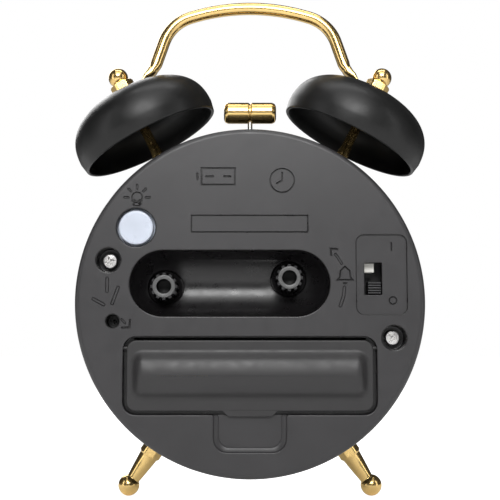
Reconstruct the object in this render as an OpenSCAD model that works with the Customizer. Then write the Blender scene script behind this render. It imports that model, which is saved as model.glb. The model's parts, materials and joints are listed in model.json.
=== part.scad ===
// Twin-bell alarm clock with a quartz movement.
// The dial faces -Y and +Z is up. The origin is on the table, under the middle of the case.
// The bells, their posts, the handle and the hammer stand in the plane y = 0.

/* [Case] */
// Outer radius of the bezel and of the back cover
case_r = 46; // [44:0.5:58]
// From the flat front of the bezel to the flat back of the cover
case_depth = 42.5; // [41:0.5:56]
// From the bell plane to the flat back of the cover
back_y = 20; // [19:0.5:26]
// Space between the table and the lowest point of the case
ground_gap = 7.8; // [6.5:0.1:14]
// Sheet thickness of the drum
drum_wall = 0.9; // [0.6:0.1:1.4]
// Width of the bezel's flat front land
bezel_land = 1.6; // [1:0.1:2.4]
// Thickness of the lens
lens_t = 1.2; // [0.8:0.1:2]
// Thickness of the dial plate
dial_t = 0.6; // [0.4:0.1:1]

/* [Back cover] */
// Plate thickness of the cover
cover_t = 2; // [1.6:0.1:3]
// Wall of the wells and bays that stand on the inside of the cover
pocket_wall = 1.2; // [0.9:0.1:1.6]
// Depth of engraved marks
mark_depth = 0.3; // [0.15:0.05:0.6]
// Depth of the cover's screw wells
screw_well_depth = 5; // [4:0.5:6]
// Radius of the cover's screw wells
screw_well_r = 3.2; // [2.8:0.1:3.6]

/* [Knobs] */
// Sideways place of the time knob from the case centre
time_knob_x = 22.7; // [21:0.1:26]
// Height of the time knob above the case centre
time_knob_z = 4; // [2:0.1:6]
// Sideways place of the alarm knob from the case centre
alarm_knob_x = -10.4; // [-14:0.1:-10]
// Height of the alarm knob above the case centre
alarm_knob_z = 6.3; // [4:0.1:8]
// Radius of a knob at the bottom of its splines
knob_r = 3; // [2.6:0.1:3.3]
// Height of a knob's splines
spline_h = 0.55; // [0.3:0.05:0.7]

/* [Battery] */
// Diameter of the cell
cell_d = 14.5; // [10:0.1:16]
// Length of the cell over its positive button
cell_l = 50.5; // [44:0.5:53]
// Wall of the battery door
door_wall = 1.2; // [0.9:0.1:1.6]

/* [Bells and handle] */
// Greatest radius of a bell
bell_r = 20.7; // [17:0.1:21.5]
// Height of a bell from rim to crown
bell_h = 16.2; // [14:0.1:20]
// Sheet thickness of a bell
bell_t = 0.9; // [0.6:0.1:1.2]
// Lean of a bell away from upright
bell_tilt = 27.3; // [24:0.1:32]
// Angle around the case, from the top, at which a bell post stands
post_angle = 32.1; // [30:0.1:38]
// Length of post between the case and the rim plane of the bell
bell_stand = 8.7; // [7:0.1:12]
// Thickness of the handle wire
wire_d = 3.5; // [2.8:0.1:4]
// Height of the handle's top centreline above the bells' crowns
handle_rise = 25; // [20:0.1:30]

/* [Feet and hammer] */
// Diameter of a foot's ball
foot_ball_d = 6; // [5:0.1:7.2]
// Angle of the feet around the case, from the bottom
foot_angle = 34.1; // [28:0.1:38]
// Length of the hammer barrel
hammer_l = 14.9; // [12:0.1:15.5]
// Diameter of the hammer barrel
hammer_d = 6; // [5:0.1:7.2]
// Height of the hammer barrel above the case centre
hammer_rise = 8.8; // [8:0.1:11]

/* [Hidden] */

fit = 0.05;          // radial clearance of a running fit
gap = 0.1;           // clearance between pieces that are assembled face to face
step = 0.3;          // clearance between pieces that pass each other
thin = 0.01;         // overlap that joins shapes of one piece

case_z = case_r + ground_gap;
front_y = back_y - case_depth;
drum_r = case_r - 0.6;
drum_in = drum_r - drum_wall;
cover_lip = 3;       // height of the cover's rim
drum_back = back_y - cover_lip;
bezel_skirt = 6.5;
lens_y = front_y + 2.1;
dial_y = front_y + 9.5;
dial_back = dial_y + dial_t;
dial_r = drum_in - 1.6;
view_r = drum_r - 4.6;   // radius of the window in the bezel

// Places on the cover, [x, z] from the case centre
time_knob_at = [time_knob_x, time_knob_z];
alarm_knob_at = [alarm_knob_x, alarm_knob_z];
scoop_r = 8.65;
scoop_ends = [22.85, -12.25];
scoop_z = 4.7;
knob_well_r = 4.7;
knob_well_depth = 9;
knob_top = back_y - 1.4;
knob_bore_r = 1.95;
knob_floor = back_y - knob_well_depth;
button_at = [30, 19.4];
button_r = 4.5;
button_hole_r = 5.1;
button_travel = 1.2;
pinhole_at = [35.9, -5.2];
pinhole_r = 1.7;
screws_at = [[37.2, 10.8], [-37.6, -9.5]];
screw_head_r = 2;
screw_r = 0.85;
panel_at = [-34.5, 7];
panel_size = [13.1, 20.9];
slot_at = [-32.3, 5.9];
slot_size = [4.6, 8.5];
slider_size = [3.3, 3.4];
slider_at = [slot_at.x - 0.35, slot_at.y - slot_size.y/2 + slider_size.y/2 + 0.15];

// Battery bay: the cell lies along X
door_recess = [66.1, 20.2];
door_recess_r = 3.4;
door_recess_depth = 2.2;
door_gap = 0.95;
door_size = [door_recess.x - 2*door_gap, door_recess.y - 2*door_gap];
door_at = [0, -19.3];
hump_size = [cell_l + 11.7, cell_d - 0.5];
hump_rise = 2.5;
door_t = 1.75;
door_top = back_y - 0.3;
door_pin_r = 0.5;
door_pin_at = [door_top - door_t/2, door_at.y + door_size.y/2 - 2];   // [y, z]
cell_y = back_y + hump_rise - door_wall - 0.3 - cell_d/2;
bay_floor = cell_y - cell_d/2 - 0.25;
bay_size = [cell_l + 10.5, cell_d + 1.9];
bay_bottom = door_at.y - bay_size.y/2;
bay_top = door_at.y + door_recess.y/2;
notch_w = 18.9;
notch_end = -39;
notch_depth = 1.3;
tab_w = [14.6, 11.5];
tab_h = 1.3;
ear_depth = 3.8;     // pockets beside the bay, where the door's hinged edge swings in
contact_h = 2*(door_top - door_t - gap - cell_y);

// Bells, posts and handle
bell_rim_r = bell_r - 0.5;
bell_power = 2.5;
post_r = 1.4;
post_foot_r = 2.05;
post_stud_r = 1.2;
post_hole_r = post_stud_r + 0.1;
crown = bell_stand + bell_h;        // height of the crown along the post
strap_t = 0.6;
strap_w = 5.2;
acorn_r = 2.8;
acorn_rise = 5.05;                  // ball centre above the crown
hex_af = 6.2;
hex_h = 2.6;
arch_r = 57;
shoulder_r = 11.5;
leg_angle = 71;                     // fall of the handle's legs below level
flare_r = 8;
leg_offset = [-8.58, 0.86];        // a point of the leg's centreline from the crown, in the bell's frame

// Feet
foot_y = dial_back + 4.4;           // behind the ledge that carries the dial
foot_ball_r = foot_ball_d/2;
foot_l = (case_z - foot_ball_r - drum_r*cos(foot_angle))/cos(foot_angle);
foot_hex_af = 5.7;
foot_stud_r = 1.4;

// Hammer and ringer
pivot_z = case_r - 13;              // above the case centre
hammer_z = case_r + hammer_rise;
arm_r = 0.7;
armature_z = pivot_z - 8.5;
coil_r = 4.2;
coil_l = 9;
coil_x = 3.4;
slot_open = [6.4, 3.4];             // opening in the drum for the arm

// Movement box, [x, z] from the case centre
move_x = [-27, 31.5];
move_z = [-22, 17];
move_wall = 1.2;
plate_t = 1;
train_y = dial_back + plate_t;      // inside face of the movement's front plate
train_h = 13.7;                     // space between the plates
arbor_r = 0.4;
second_r = 0.5;
minute_tube_r = 1.1;
hour_tube_r = 1.8;
alarm_tube_r = 2.5;
spindle_r = 1.2;

// Wheel train: teeth and arbor places, all meshed by their shared distances
third_dist = 10.2;
inter_dist = 10.2;
motion_dist = 9.6;
rotor_dist = 8.75;
motion_m = 2*motion_dist/(12 + 36);
hour_m = 2*motion_dist/(10 + 40);
third_m = 2*third_dist/(8 + 64);
centre_m = 2*third_dist/(8 + 60);
second_m = 2*inter_dist/(8 + 40);
rotor_m = 2*rotor_dist/(10 + 60);
alarm_m = 2*norm(alarm_knob_at)/(20 + 40);
time_teeth = ceil(2*(norm(time_knob_at) - motion_dist)/motion_m) - 36;
time_dist = motion_m*(36 + time_teeth)/2;

function turn(r, a) = [r*cos(a), r*sin(a)];
function angle_of(p) = atan2(p.y, p.x);
time_angle = angle_of(time_knob_at);
motion_angle = time_angle + acos((pow(motion_dist, 2) + pow(norm(time_knob_at), 2) - pow(time_dist, 2))
    /(2*motion_dist*norm(time_knob_at)));
motion_at = turn(motion_dist, motion_angle);
third_angle = -70;
third_at = turn(third_dist, third_angle);
inter_angle = -140;
inter_at = turn(inter_dist, inter_angle);
rotor_angle = -160;
rotor_at = inter_at + turn(rotor_dist, rotor_angle);
knob_angle = angle_of(time_knob_at - motion_at);

// Turn that puts a gap of the driven gear on a tooth of the driver, seen along direction a
function mesh_turn(n1, turn1, n2, a) = a + 180 - (360/n2)*(0.5 - (a - turn1)*n1/360);
third_pinion_turn = mesh_turn(60, 0, 8, third_angle);
third_wheel_turn = mesh_turn(8, 0, 64, third_angle);
inter_pinion_turn = mesh_turn(40, 0, 8, inter_angle);
rotor_turn = mesh_turn(60, 0, 10, rotor_angle);
motion_turn = mesh_turn(12, 0, 36, motion_angle);
hour_turn = mesh_turn(10, 0, 40, motion_angle + 180);
time_turn = mesh_turn(36, motion_turn, time_teeth, knob_angle);
alarm_turn = mesh_turn(40, 0, 20, angle_of(alarm_knob_at));

// Hands
alarm_hand_y = dial_y - 1.3;
hour_hand_y = alarm_hand_y - 1.1;
minute_hand_y = hour_hand_y - 1.1;
second_hand_y = minute_hand_y - 1.1;
hand_t = 0.3;
hour_angle = 90 - 305;              // ten past ten
minute_angle = 90 - 60;
second_angle = 90 - 210;
alarm_angle = 90 - 180;

round_fn = 96;
small_fn = 48;

// ---- helpers -------------------------------------------------------------

// Plate between two depths, its outline drawn in x and z
module plate(y0, y1) {
    translate([0, y1, 0]) rotate([90, 0, 0]) linear_extrude(y1 - y0) children();
}

// Turned body about an axis along Y; its profile is [radius, y]
module turned() {
    rotate([-90, 0, 0]) rotate_extrude($fn = round_fn) children();
}

// Moves to a place on the case, [x, z] from its centre
module at(p = [0, 0]) {
    translate([p.x, 0, case_z + p.y]) children();
}

module disc(r) {
    circle(r = r, $fn = round_fn);
}

module hole(r) {
    circle(r = r, $fn = small_fn);
}

module ring(r_out, r_in) {
    difference() {
        disc(r_out);
        disc(r_in);
    }
}

module rounded(size, r) {
    square([size.x - 2*r, size.y], center = true);
    square([size.x, size.y - 2*r], center = true);
    for (i = [-1, 1], j = [-1, 1])
        translate([i*(size.x/2 - r), j*(size.y/2 - r)]) circle(r = r, $fn = small_fn);
}

// Line of width w between two points, with round ends
module stroke(p, q, w) {
    a = angle_of(q - p);
    polygon(concat([for (b = [90:30:270]) p + turn(w/2, a + b)], [for (b = [-90:30:90]) q + turn(w/2, a + b)]));
}

module outline(points, w) {
    for (i = [0:len(points) - 2])
        stroke(points[i], points[i + 1], w);
}

// Arrow head with its tip at p, pointing along direction a
module arrow_head(p, a, l, w) {
    for (s = [-1, 1])
        stroke(p, p + turn(l, a + 180 + s*28), w);
}

// Gear outline with involute flanks, module m and n teeth, turned by a
module gear(n, m, a) {
    pitch_r = m*n/2;
    base_r = pitch_r*cos(20);
    root_r = pitch_r - 1.2*m;
    tip_r = pitch_r + 0.85*m;
    slack = 0.12*m;
    function inv(x) = tan(x)*180/PI - x;
    function half(r) = 90/n - slack/pitch_r*180/PI + inv(20) - inv(acos(min(1, base_r/r)));
    radii = [root_r, max(base_r, root_r + 0.1*m), pitch_r, tip_r];
    rotate(a) polygon([for (i = [0:n - 1], s = [-1, 1], k = [0:3])
        let (r = s < 0 ? radii[k] : radii[3 - k]) turn(r, i*360/n + s*half(r))]);
}

// Stands children on the post of one side; +Z runs out along the post
module on_post(side) {
    at([side*drum_r*sin(post_angle), drum_r*cos(post_angle)]) rotate([0, side*bell_tilt, 0]) children();
}

// Stands children on one foot; +Z runs out along the foot
module on_foot(side) {
    at([side*drum_r*sin(foot_angle), -drum_r*cos(foot_angle)]) translate([0, foot_y, 0])
        rotate([0, side*(180 - foot_angle), 0]) children();
}

module hexagon(af) {
    circle(d = af/cos(30), $fn = 6);
}

// ---- case ----------------------------------------------------------------

module case_drum() {
    color([0.13, 0.13, 0.13]) {
        difference() {
            at() plate(front_y + bezel_skirt - 4, drum_back) ring(drum_r, drum_in);
            for (side = [-1, 1]) {
                on_post(side) translate([0, 0, -4]) cylinder(r = post_hole_r, h = 8, $fn = small_fn);
                on_foot(side) translate([0, 0, -4])
                    cylinder(r = foot_stud_r + 0.1, h = 8, $fn = small_fn);
            }
            translate([-slot_open.x/2, -slot_open.y/2, case_z + drum_in - 3])
                cube([slot_open.x, slot_open.y, 6]);
        }
        at() plate(dial_back, dial_back + 0.8) ring(drum_in + thin, dial_r - 1.5);
        for (p = screws_at)
            at() screw_lug(p);
    }
}

// Lug on the drum's inside that takes a cover screw
module screw_lug(p) {
    lug_back = back_y - screw_well_depth - pocket_wall - gap;
    difference() {
        union() {
            translate([p.x, 0, p.y]) plate(lug_back - 8, lug_back) hole(2.6);
            rotate([0, -angle_of(p), 0]) translate([norm(p), lug_back - 8, -1.6])
                cube([drum_in - norm(p) + thin, 6, 3.2]);
        }
        translate([p.x, 0, p.y]) plate(lug_back - 6, lug_back + 1) hole(screw_r + fit);
    }
}

module front_bezel() {
    land_r = case_r - 2;
    color([0.13, 0.13, 0.13]) at() turned() polygon(concat(
        [[drum_r + fit, front_y + bezel_skirt], [case_r, front_y + bezel_skirt]],
        [for (a = [0:15:90]) [land_r + 2*cos(a), front_y + 2 - 2*sin(a)]],
        [[land_r - bezel_land, front_y], [view_r + 0.6, lens_y - 0.5], [view_r, lens_y - 0.5],
         [view_r, lens_y], [view_r + 1.4, lens_y], [view_r + 1.4, lens_y + lens_t + 0.4],
         [drum_in - 0.4, lens_y + lens_t + 0.4], [drum_in - 0.4, front_y + 2.4],
         [drum_r + fit, front_y + 2.4]]));
}

module lens() {
    color([0.8, 0.85, 0.9, 0.3]) at() plate(lens_y + fit, lens_y + fit + lens_t) disc(view_r + 1.3);
}

module dial_ring() {
    ring_y = lens_y + lens_t + 2*fit;
    color([0.85, 0.68, 0.32]) at() turned() polygon([[view_r + 1.2, ring_y], [view_r + 0.2, ring_y],
        [view_r - 1, dial_y - gap], [view_r + 1.2, dial_y - gap]]);
}

module dial() {
    color([0.95, 0.95, 0.93]) at() plate(dial_y, dial_back - fit) ring(dial_r, alarm_tube_r + step);
}

// Rim, dished plate and plug of the cover, before its pockets are cut
module cover_blank() {
    edge = 1.5;
    at() turned() polygon(concat([[0, back_y], [case_r - edge, back_y]],
        [for (a = [75:-15:0]) [case_r - edge + edge*cos(a), back_y - edge + edge*sin(a)]],
        [[case_r, drum_back + gap/2], [drum_in - gap, drum_back + gap/2], [drum_in - gap, back_y - 8],
         [drum_in - 1.5, back_y - 8], [drum_in - 1.5, back_y - cover_t], [0, back_y - cover_t]]));
}

module scoop(r) {
    translate([scoop_ends[1], back_y, scoop_z]) rotate([0, 90, 0])
        cylinder(r = r, h = scoop_ends[0] - scoop_ends[1], $fn = round_fn);
    for (x = scoop_ends)
        translate([x, back_y, scoop_z]) sphere(r = r, $fn = round_fn);
}

module back_cover() {
    inner = back_y - cover_t - thin;
    color([0.17, 0.17, 0.17]) difference() {
        union() {
            cover_blank();
            intersection() {
                at() scoop(scoop_r + pocket_wall);
                at() plate(0, inner + 2*thin) square(4*case_r, center = true);
            }
            for (p = [time_knob_at, alarm_knob_at])
                at(p) plate(knob_floor - pocket_wall, inner + 2*thin) hole(knob_well_r + pocket_wall);
            for (p = screws_at)
                at(p) plate(back_y - screw_well_depth - pocket_wall, inner + 2*thin)
                    hole(screw_well_r + pocket_wall);
            at(pinhole_at) plate(back_y - 5, inner + 2*thin) hole(pinhole_r + pocket_wall);
            at() plate(back_y - door_recess_depth - pocket_wall, inner + 2*thin) intersection() {
                translate(door_at) square(door_recess + 2*[pocket_wall, pocket_wall], center = true);
                disc(drum_in - 2*gap);
            }
            at() plate(back_y - ear_depth - pocket_wall, inner + 2*thin) ears(pocket_wall);
            at() plate(bay_floor - pocket_wall, inner + 2*thin) bay_outline(pocket_wall);
        }
        at() scoop(scoop_r);
        for (p = [time_knob_at, alarm_knob_at]) {
            at(p) plate(knob_floor, back_y + 1) hole(knob_well_r);
            at(p) plate(0, back_y) hole(spindle_r + fit);
        }
        at(button_at) plate(back_y - 10, back_y + 1) hole(button_hole_r);
        at(pinhole_at) plate(back_y - 4, back_y + 1) hole(pinhole_r);
        for (p = screws_at) {
            at(p) plate(back_y - screw_well_depth, back_y + 1) hole(screw_well_r);
            at(p) plate(0, back_y) hole(screw_r + 0.15);
        }
        at(panel_at) plate(back_y - 0.4, back_y + 1) rounded(panel_size, 2);
        at(slot_at) plate(0, back_y + 1) square(slot_size, center = true);
        at(door_at) plate(back_y - door_recess_depth, back_y + 1) rounded(door_recess, door_recess_r);
        at() plate(bay_floor, back_y) bay_outline(0);
        at() plate(back_y - ear_depth, back_y - 1) ears(0);
        for (s = [-1, 1])
            at() translate([s*door_recess.x/2, door_pin_at.x, door_pin_at.y]) rotate([0, s*90, 0])
                translate([0, 0, -1]) cylinder(r = door_pin_r + fit, h = 2.2, $fn = small_fn);
        finger_notch();
        at() plate(back_y - mark_depth, back_y + 1) marks();
        at() plate(back_y - 0.4 - mark_depth, back_y) switch_marks();
    }
}

module bay_outline(grow) {
    translate([-bay_size.x/2 - grow, bay_bottom - grow])
        square([bay_size.x + 2*grow, bay_top - bay_bottom + 2*grow]);
}

module ears(grow) {
    low = door_pin_at.y - 1.3 - grow;
    for (s = [-1, 1])
        translate([s*(bay_size.x + door_recess.x)/4, (low + bay_top + grow)/2])
            square([(door_recess.x - bay_size.x)/2 + 2*grow + 2*thin, bay_top + grow - low], center = true);
}

// Finger notch below the door: a shallow pocket with three sloping sides
module finger_notch() {
    top = door_at.y - door_recess.y/2 + 1;
    at() intersection() {
        plate(back_y - notch_depth, back_y + 1) translate([-notch_w/2, notch_end])
            square([notch_w, top - notch_end]);
        translate([-notch_w/2, 0, 0]) rotate([90, 0, 90]) linear_extrude(notch_w)
            polygon([[back_y + 1, notch_end], [back_y, notch_end], [back_y - notch_depth, notch_end + 1.6],
                [back_y - notch_depth, top], [back_y + 1, top]]);
        translate([0, 0, notch_end]) linear_extrude(top - notch_end)
            polygon([[-notch_w/2, back_y + 1], [-notch_w/2, back_y], [-notch_w/2 + 1.3, back_y - notch_depth],
                [notch_w/2 - 1.3, back_y - notch_depth], [notch_w/2, back_y],
                [notch_w/2, back_y + 1]]);
    }
}

// Engraved marks: lamp, hands-setting, alarm-setting, a plain frame, a cell and a dial
module marks() {
    w = 0.5;
    lamp = [29.8, 27.4];
    translate(lamp) ring(1.6, 1.15);
    outline([lamp + [-0.8, -1.3], lamp + [-0.8, -2.2], lamp + [0.8, -2.2], lamp + [0.8, -1.3]], 0.4);
    for (a = [0, 45, 90, 135, 180])
        stroke(lamp + turn(2.3, a), lamp + turn(3.1, a), 0.45);
    stroke([37.4, 6.3], [37.4, 2.3], 0.8);
    stroke([41.3, 0.7], [38, -1], w);
    stroke([34.4, 3.8], [36.2, -0.9], w);
    outline([[34.8, -3.4], [33.2, -5.1], [31.5, -6.7]], w);
    arrow_head([31.5, -6.7], -136, 1.8, w);
    outline([[-24, 9.9], [-22.9, 11.7], [-21.3, 13.6]], w);
    arrow_head([-21.3, 13.6], 50, 1.8, w);
    bell = [-24.9, 7];
    outline([bell + [-2, -1.4], bell + [-1.4, -0.7], bell + [-1.2, 1], bell + [0, 2.1], bell + [1.2, 1],
        bell + [1.4, -0.7], bell + [2, -1.4], bell + [-2, -1.4]], 0.4);
    stroke(bell + [-0.4, -2.1], bell + [0.4, -2.1], 0.45);
    outline([[-24.7, 3.9], [-24.5, 1.4], [-23.6, -1.2]], w);
    frame_at = [0.1, 20.4];
    for (s = [-1, 1]) {
        stroke(frame_at + [-15.3, s*2.2], frame_at + [15.3, s*2.2], 0.35);
        stroke(frame_at + [s*15.3, -2.2], frame_at + [s*15.3, 2.2], 0.35);
    }
    cell = [8.4, 33];
    outline([cell + [-4.4, -2.2], cell + [4.4, -2.2], cell + [4.4, 2.2], cell + [-4.4, 2.2],
        cell + [-4.4, -2.2]], w);
    stroke(cell + [5.2, -0.8], cell + [5.2, 0.8], w);
    stroke(cell + [1.4, 0], cell + [3.2, 0], w);
    stroke(cell + [2.3, -0.9], cell + [2.3, 0.9], w);
    stroke(cell + [-3.2, 0], cell + [-1.6, 0], w);
    face = [-8.5, 31.9];
    translate(face) ring(3.4, 2.95);
    outline([face + [0, 2], face, face + [1.4, -0.8]], w);
}

// Marks beside the switch: a bar for on, a ring for off
module switch_marks() {
    stroke([-37.2, 13.4], [-37.2, 15.4], 0.5);
    translate([-37.4, 0.2]) ring(1.15, 0.75);
}

module cover_screws() {
    head_y = back_y - screw_well_depth;
    color([0.75, 0.75, 0.75]) for (p = screws_at)
        at(p) difference() {
            union() {
                turned() polygon([[0, head_y + fit], [screw_head_r, head_y + fit],
                    [screw_head_r, head_y + 0.9], [screw_head_r - 0.4, head_y + 1.3],
                    [screw_head_r - 1.1, head_y + 1.5], [0, head_y + 1.55]]);
                plate(head_y - 6, head_y + 2*fit) hole(screw_r);
            }
            plate(head_y + 0.6, head_y + 2) for (a = [20, 110])
                rotate(a) square([2.5, 0.55], center = true);
        }
}

module battery_door() {
    arc_r = (pow(hump_size.y/2, 2) + pow(hump_rise, 2))/(2*hump_rise);
    low = door_top - door_t;
    bottom = -door_size.y/2;
    module arch(r, size) {
        intersection() {
            plate(low, back_y + hump_rise + 1) rounded(size, 3.4);
            translate([-size.x/2, back_y + hump_rise - arc_r, 0]) rotate([0, 90, 0])
                cylinder(r = r, h = size.x, $fn = round_fn);
        }
    }
    color([0.15, 0.15, 0.15]) {
        at(door_at) difference() {
            union() {
                plate(low, door_top) rounded(door_size, door_recess_r - door_gap);
                plate(back_y - notch_depth + gap, door_top)
                    polygon([[-tab_w[0]/2, bottom + 1], [tab_w[0]/2, bottom + 1], [tab_w[0]/2, bottom],
                        [tab_w[1]/2, bottom - tab_h], [-tab_w[1]/2, bottom - tab_h], [-tab_w[0]/2, bottom]]);
                arch(arc_r, hump_size);
            }
            plate(low - 1, low + thin) rounded(hump_size - 2*[door_wall, door_wall], 2.2);
            arch(arc_r - door_wall, hump_size - 2*[door_wall, door_wall]);
            translate([-bay_size.x/2, cell_y, 0]) rotate([0, 90, 0])
                cylinder(r = cell_d/2 + 2*gap, h = bay_size.x, $fn = round_fn);
        }
        for (s = [-1, 1])
            at() translate([s*(door_size.x/2 - 0.5), door_pin_at.x, door_pin_at.y]) rotate([0, s*90, 0])
                cylinder(r = door_pin_r, h = 2.2, $fn = small_fn);
    }
}

module battery_cell() {
    r = cell_d/2;
    color([0.25, 0.45, 0.7]) at(door_at) translate([0, cell_y, 0]) rotate([0, 90, 0])
        rotate_extrude($fn = round_fn) polygon([[0, -cell_l/2], [r - 0.6, -cell_l/2], [r, -cell_l/2 + 0.6],
            [r, cell_l/2 - 2.1], [r - 0.6, cell_l/2 - 1.5], [2.75, cell_l/2 - 1.5], [2.75, cell_l/2],
            [0, cell_l/2]]);
}

module contact_plate(side) {
    at(door_at) translate([side*(bay_size.x/2 - gap - 0.2), cell_y, 0])
        cube([0.4, contact_h, 9.5], center = true);
}

// Conical spring between the bay's end and the cell's flat end
module spring_contact() {
    start = -bay_size.x/2 + gap + 0.3;
    reach = bay_size.x/2 - cell_l/2 - gap - 0.4 - 0.3;
    turns = 4;
    wire_r = 0.3;
    foot_r = contact_h/2 - wire_r;
    color([0.8, 0.8, 0.78]) {
        contact_plate(-1);
        at(door_at) translate([start, cell_y, 0]) skin([for (i = [0:12*turns])
            let (a = 30*i, share = i/(12*turns), r = foot_r*(1 - 0.55*share), x = share*reach)
            [for (k = [0:7]) let (c = r + wire_r*cos(45*k)) [x + wire_r*sin(45*k), c*cos(a), c*sin(a)]]]);
    }
}

module plate_contact() {
    reach = bay_size.x/2 - cell_l/2 - gap - 0.4 - 0.2;
    color([0.8, 0.8, 0.78]) {
        contact_plate(1);
        at(door_at) translate([bay_size.x/2 - gap - 0.4 + thin, cell_y, 0]) rotate([0, -90, 0])
            cylinder(r1 = 0.42*contact_h, r2 = 0.27*contact_h, h = reach, $fn = small_fn);
    }
}

// ---- button, switch and knobs --------------------------------------------

module light_button() {
    top = back_y + 0.35;
    flange_top = back_y - cover_t - gap;
    color([0.86, 0.89, 0.94]) at(button_at) turned() polygon(concat([[0, top]],
        [for (a = [90:-15:0]) [button_r - 0.5 + 0.5*cos(a), top - 0.6 + 0.5*sin(a)]],
        [[button_r, flange_top], [button_hole_r + 0.7, flange_top], [button_hole_r + 0.7, flange_top - 0.9],
         [button_r - 0.9, flange_top - 0.9], [button_r - 0.9, top - 1.3], [1.2, top - 1.3],
         [1.2, flange_top - 1.2], [0, flange_top - 1.2]]));
}

module push_switch() {
    plunger_top = back_y - cover_t - gap - 1.2 - button_travel - fit;
    color([0.2, 0.2, 0.2]) at(button_at) {
        plate(plunger_top - 4.2, plunger_top - 0.8) square(6, center = true);
        plate(plunger_top - 1, plunger_top) hole(1.7);
        plate(plunger_top - 5.4, plunger_top - 4.2 + thin) rounded([11, 9], 1);
    }
}

// Ridged slider of the alarm switch, with the shoe that runs in the switch body
module switch_slider() {
    top = back_y - 0.5;
    ridges = 5;
    color([0.1, 0.1, 0.1]) at(slider_at) {
        difference() {
            plate(top - 2, top) square(slider_size, center = true);
            for (i = [0:ridges - 1])
                translate([0, top, (i - (ridges - 1)/2)*slider_size.y/ridges]) rotate([45, 0, 0])
                    cube([slider_size.x + 1, 0.36, 0.36], center = true);
        }
        plate(top - 5, top - 2 + thin) translate([-slider_size.x/2, -slider_size.y/2])
            square([1.2, slider_size.y]);
        plate(top - 5.6, top - 4.8) translate([-slider_size.x/2 - 0.5, -slider_size.y/2])
            square([2, slider_size.y]);
    }
}

module switch_body() {
    top = back_y - cover_t - gap;
    color([0.3, 0.3, 0.32]) at(slot_at) difference() {
        plate(top - 6, top) square(slot_size + [3, 4], center = true);
        plate(top - 5, top + 1) square(slot_size + [0.6, 0.6], center = true);
    }
}

// Pale block seen in the upper corner of the switch's slot
module switch_block() {
    top = back_y - cover_t - gap;
    color([0.85, 0.84, 0.8]) at(slot_at + [slot_size.x/2 - 1.45, slot_size.y/2 - 1.25])
        plate(top - 4.9, top - 0.6) square([2.6, 2.3], center = true);
}

module dial_lamp() {
    color([0.95, 0.95, 0.9]) at([0, view_r - 3]) {
        plate(dial_back + 1.2, dial_back + 3.6) hole(1.5);
        plate(dial_back + 3.5, dial_back + 4.2) square([6, 4], center = true);
    }
}

module knob(p, teeth) {
    color([0.1, 0.1, 0.1]) at(p) difference() {
        union() {
            plate(knob_floor + step, knob_top) hole(knob_r);
            plate(knob_floor + step, knob_top - 0.3) for (i = [0:teeth - 1])
                rotate(i*360/teeth) translate([knob_r - 0.4, -0.33]) square([spline_h + 0.4, 0.66]);
        }
        plate(knob_top - 5, knob_top + 1) hole(knob_bore_r);
        plate(0, knob_top - 5 + thin) hole(spindle_r - 0.2);
    }
}

module time_knob() {
    knob(time_knob_at, 12);
}

module alarm_knob() {
    knob(alarm_knob_at, 12);
}

// Spindle from the movement's front plate to inside its knob, with the wheel it turns
module spindle(p, n, m, a, u) {
    color([0.9, 0.9, 0.88]) at(p) {
        plate(train_y - 0.7, train_y + fit) hole(0.8);
        plate(train_y + fit, knob_floor + step - fit) hole(spindle_r);
        plate(knob_floor + step - fit - thin, knob_top - 5.2) hole(spindle_r - 0.2);
        plate(train_y + u, train_y + u + 0.8) gear(n, m, a);
    }
}

module time_spindle() {
    spindle(time_knob_at, time_teeth, motion_m, time_turn, 3.4);
}

module alarm_spindle() {
    spindle(alarm_knob_at, 20, alarm_m, alarm_turn, 0.6);
}

// ---- bells, handle, hammer and feet --------------------------------------

function bell_curve(r, h, n) = [for (i = [0:n]) let (a = 90*i/n)
    [r*pow(sin(a), 2/bell_power), h*pow(cos(a), 2/bell_power)]];

module bell(side) {
    outer = bell_curve(bell_r, bell_h - 3, 12);
    inner = bell_curve(bell_r - bell_t, bell_h - 3 - bell_t, 12);
    color([0.12, 0.12, 0.12]) on_post(side) difference() {
        translate([0, 0, bell_stand + 3]) rotate_extrude($fn = round_fn) polygon(concat(outer,
            [[bell_rim_r, -3], [bell_rim_r - bell_t, -3]], [for (i = [12:-1:0]) inner[i]]));
        cylinder(r = post_stud_r + fit, h = 2*crown, $fn = small_fn);
    }
}

module bell_right() {
    bell(1);
}

module bell_left() {
    bell(-1);
}

module bell_posts() {
    seat = crown - bell_t - gap;
    stud_top = crown + strap_t + hex_h;
    color([0.85, 0.68, 0.32]) for (side = [-1, 1])
        on_post(side) rotate_extrude($fn = small_fn) polygon([[0, -5], [post_stud_r, -5], [post_stud_r, 0.25],
            [post_foot_r, 0.25], [post_foot_r, 1], [post_r, 8], [post_r, seat - 2], [2.4, seat - 0.8],
            [2.4, seat], [post_stud_r, seat], [post_stud_r, stud_top], [0, stud_top]]);
}

module post_nuts() {
    color([0.75, 0.75, 0.75]) for (side = [-1, 1])
        on_post(side) translate([0, 0, -drum_wall - 2.4]) difference() {
            linear_extrude(1.9) hexagon(5);
            translate([0, 0, -1]) cylinder(r = post_stud_r + fit, h = 4, $fn = small_fn);
        }
}

module acorn_nuts() {
    base = crown + strap_t + 2*fit;
    color([0.85, 0.68, 0.32]) for (side = [-1, 1])
        on_post(side) difference() {
            union() {
                translate([0, 0, base]) linear_extrude(hex_h) hexagon(hex_af);
                translate([0, 0, base + hex_h - thin]) cylinder(r1 = 2.7, r2 = 1.9, h = 0.7, $fn = small_fn);
                translate([0, 0, crown + acorn_rise]) sphere(r = acorn_r, $fn = round_fn);
            }
            translate([0, 0, base - acorn_r]) cylinder(r = post_stud_r + fit, h = acorn_r + hex_h + 0.3,
                $fn = small_fn);
            translate([0, 0, base - 4 + thin]) cylinder(r = 4, h = 4 - 2*thin, $fn = small_fn);
        }
}

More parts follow.
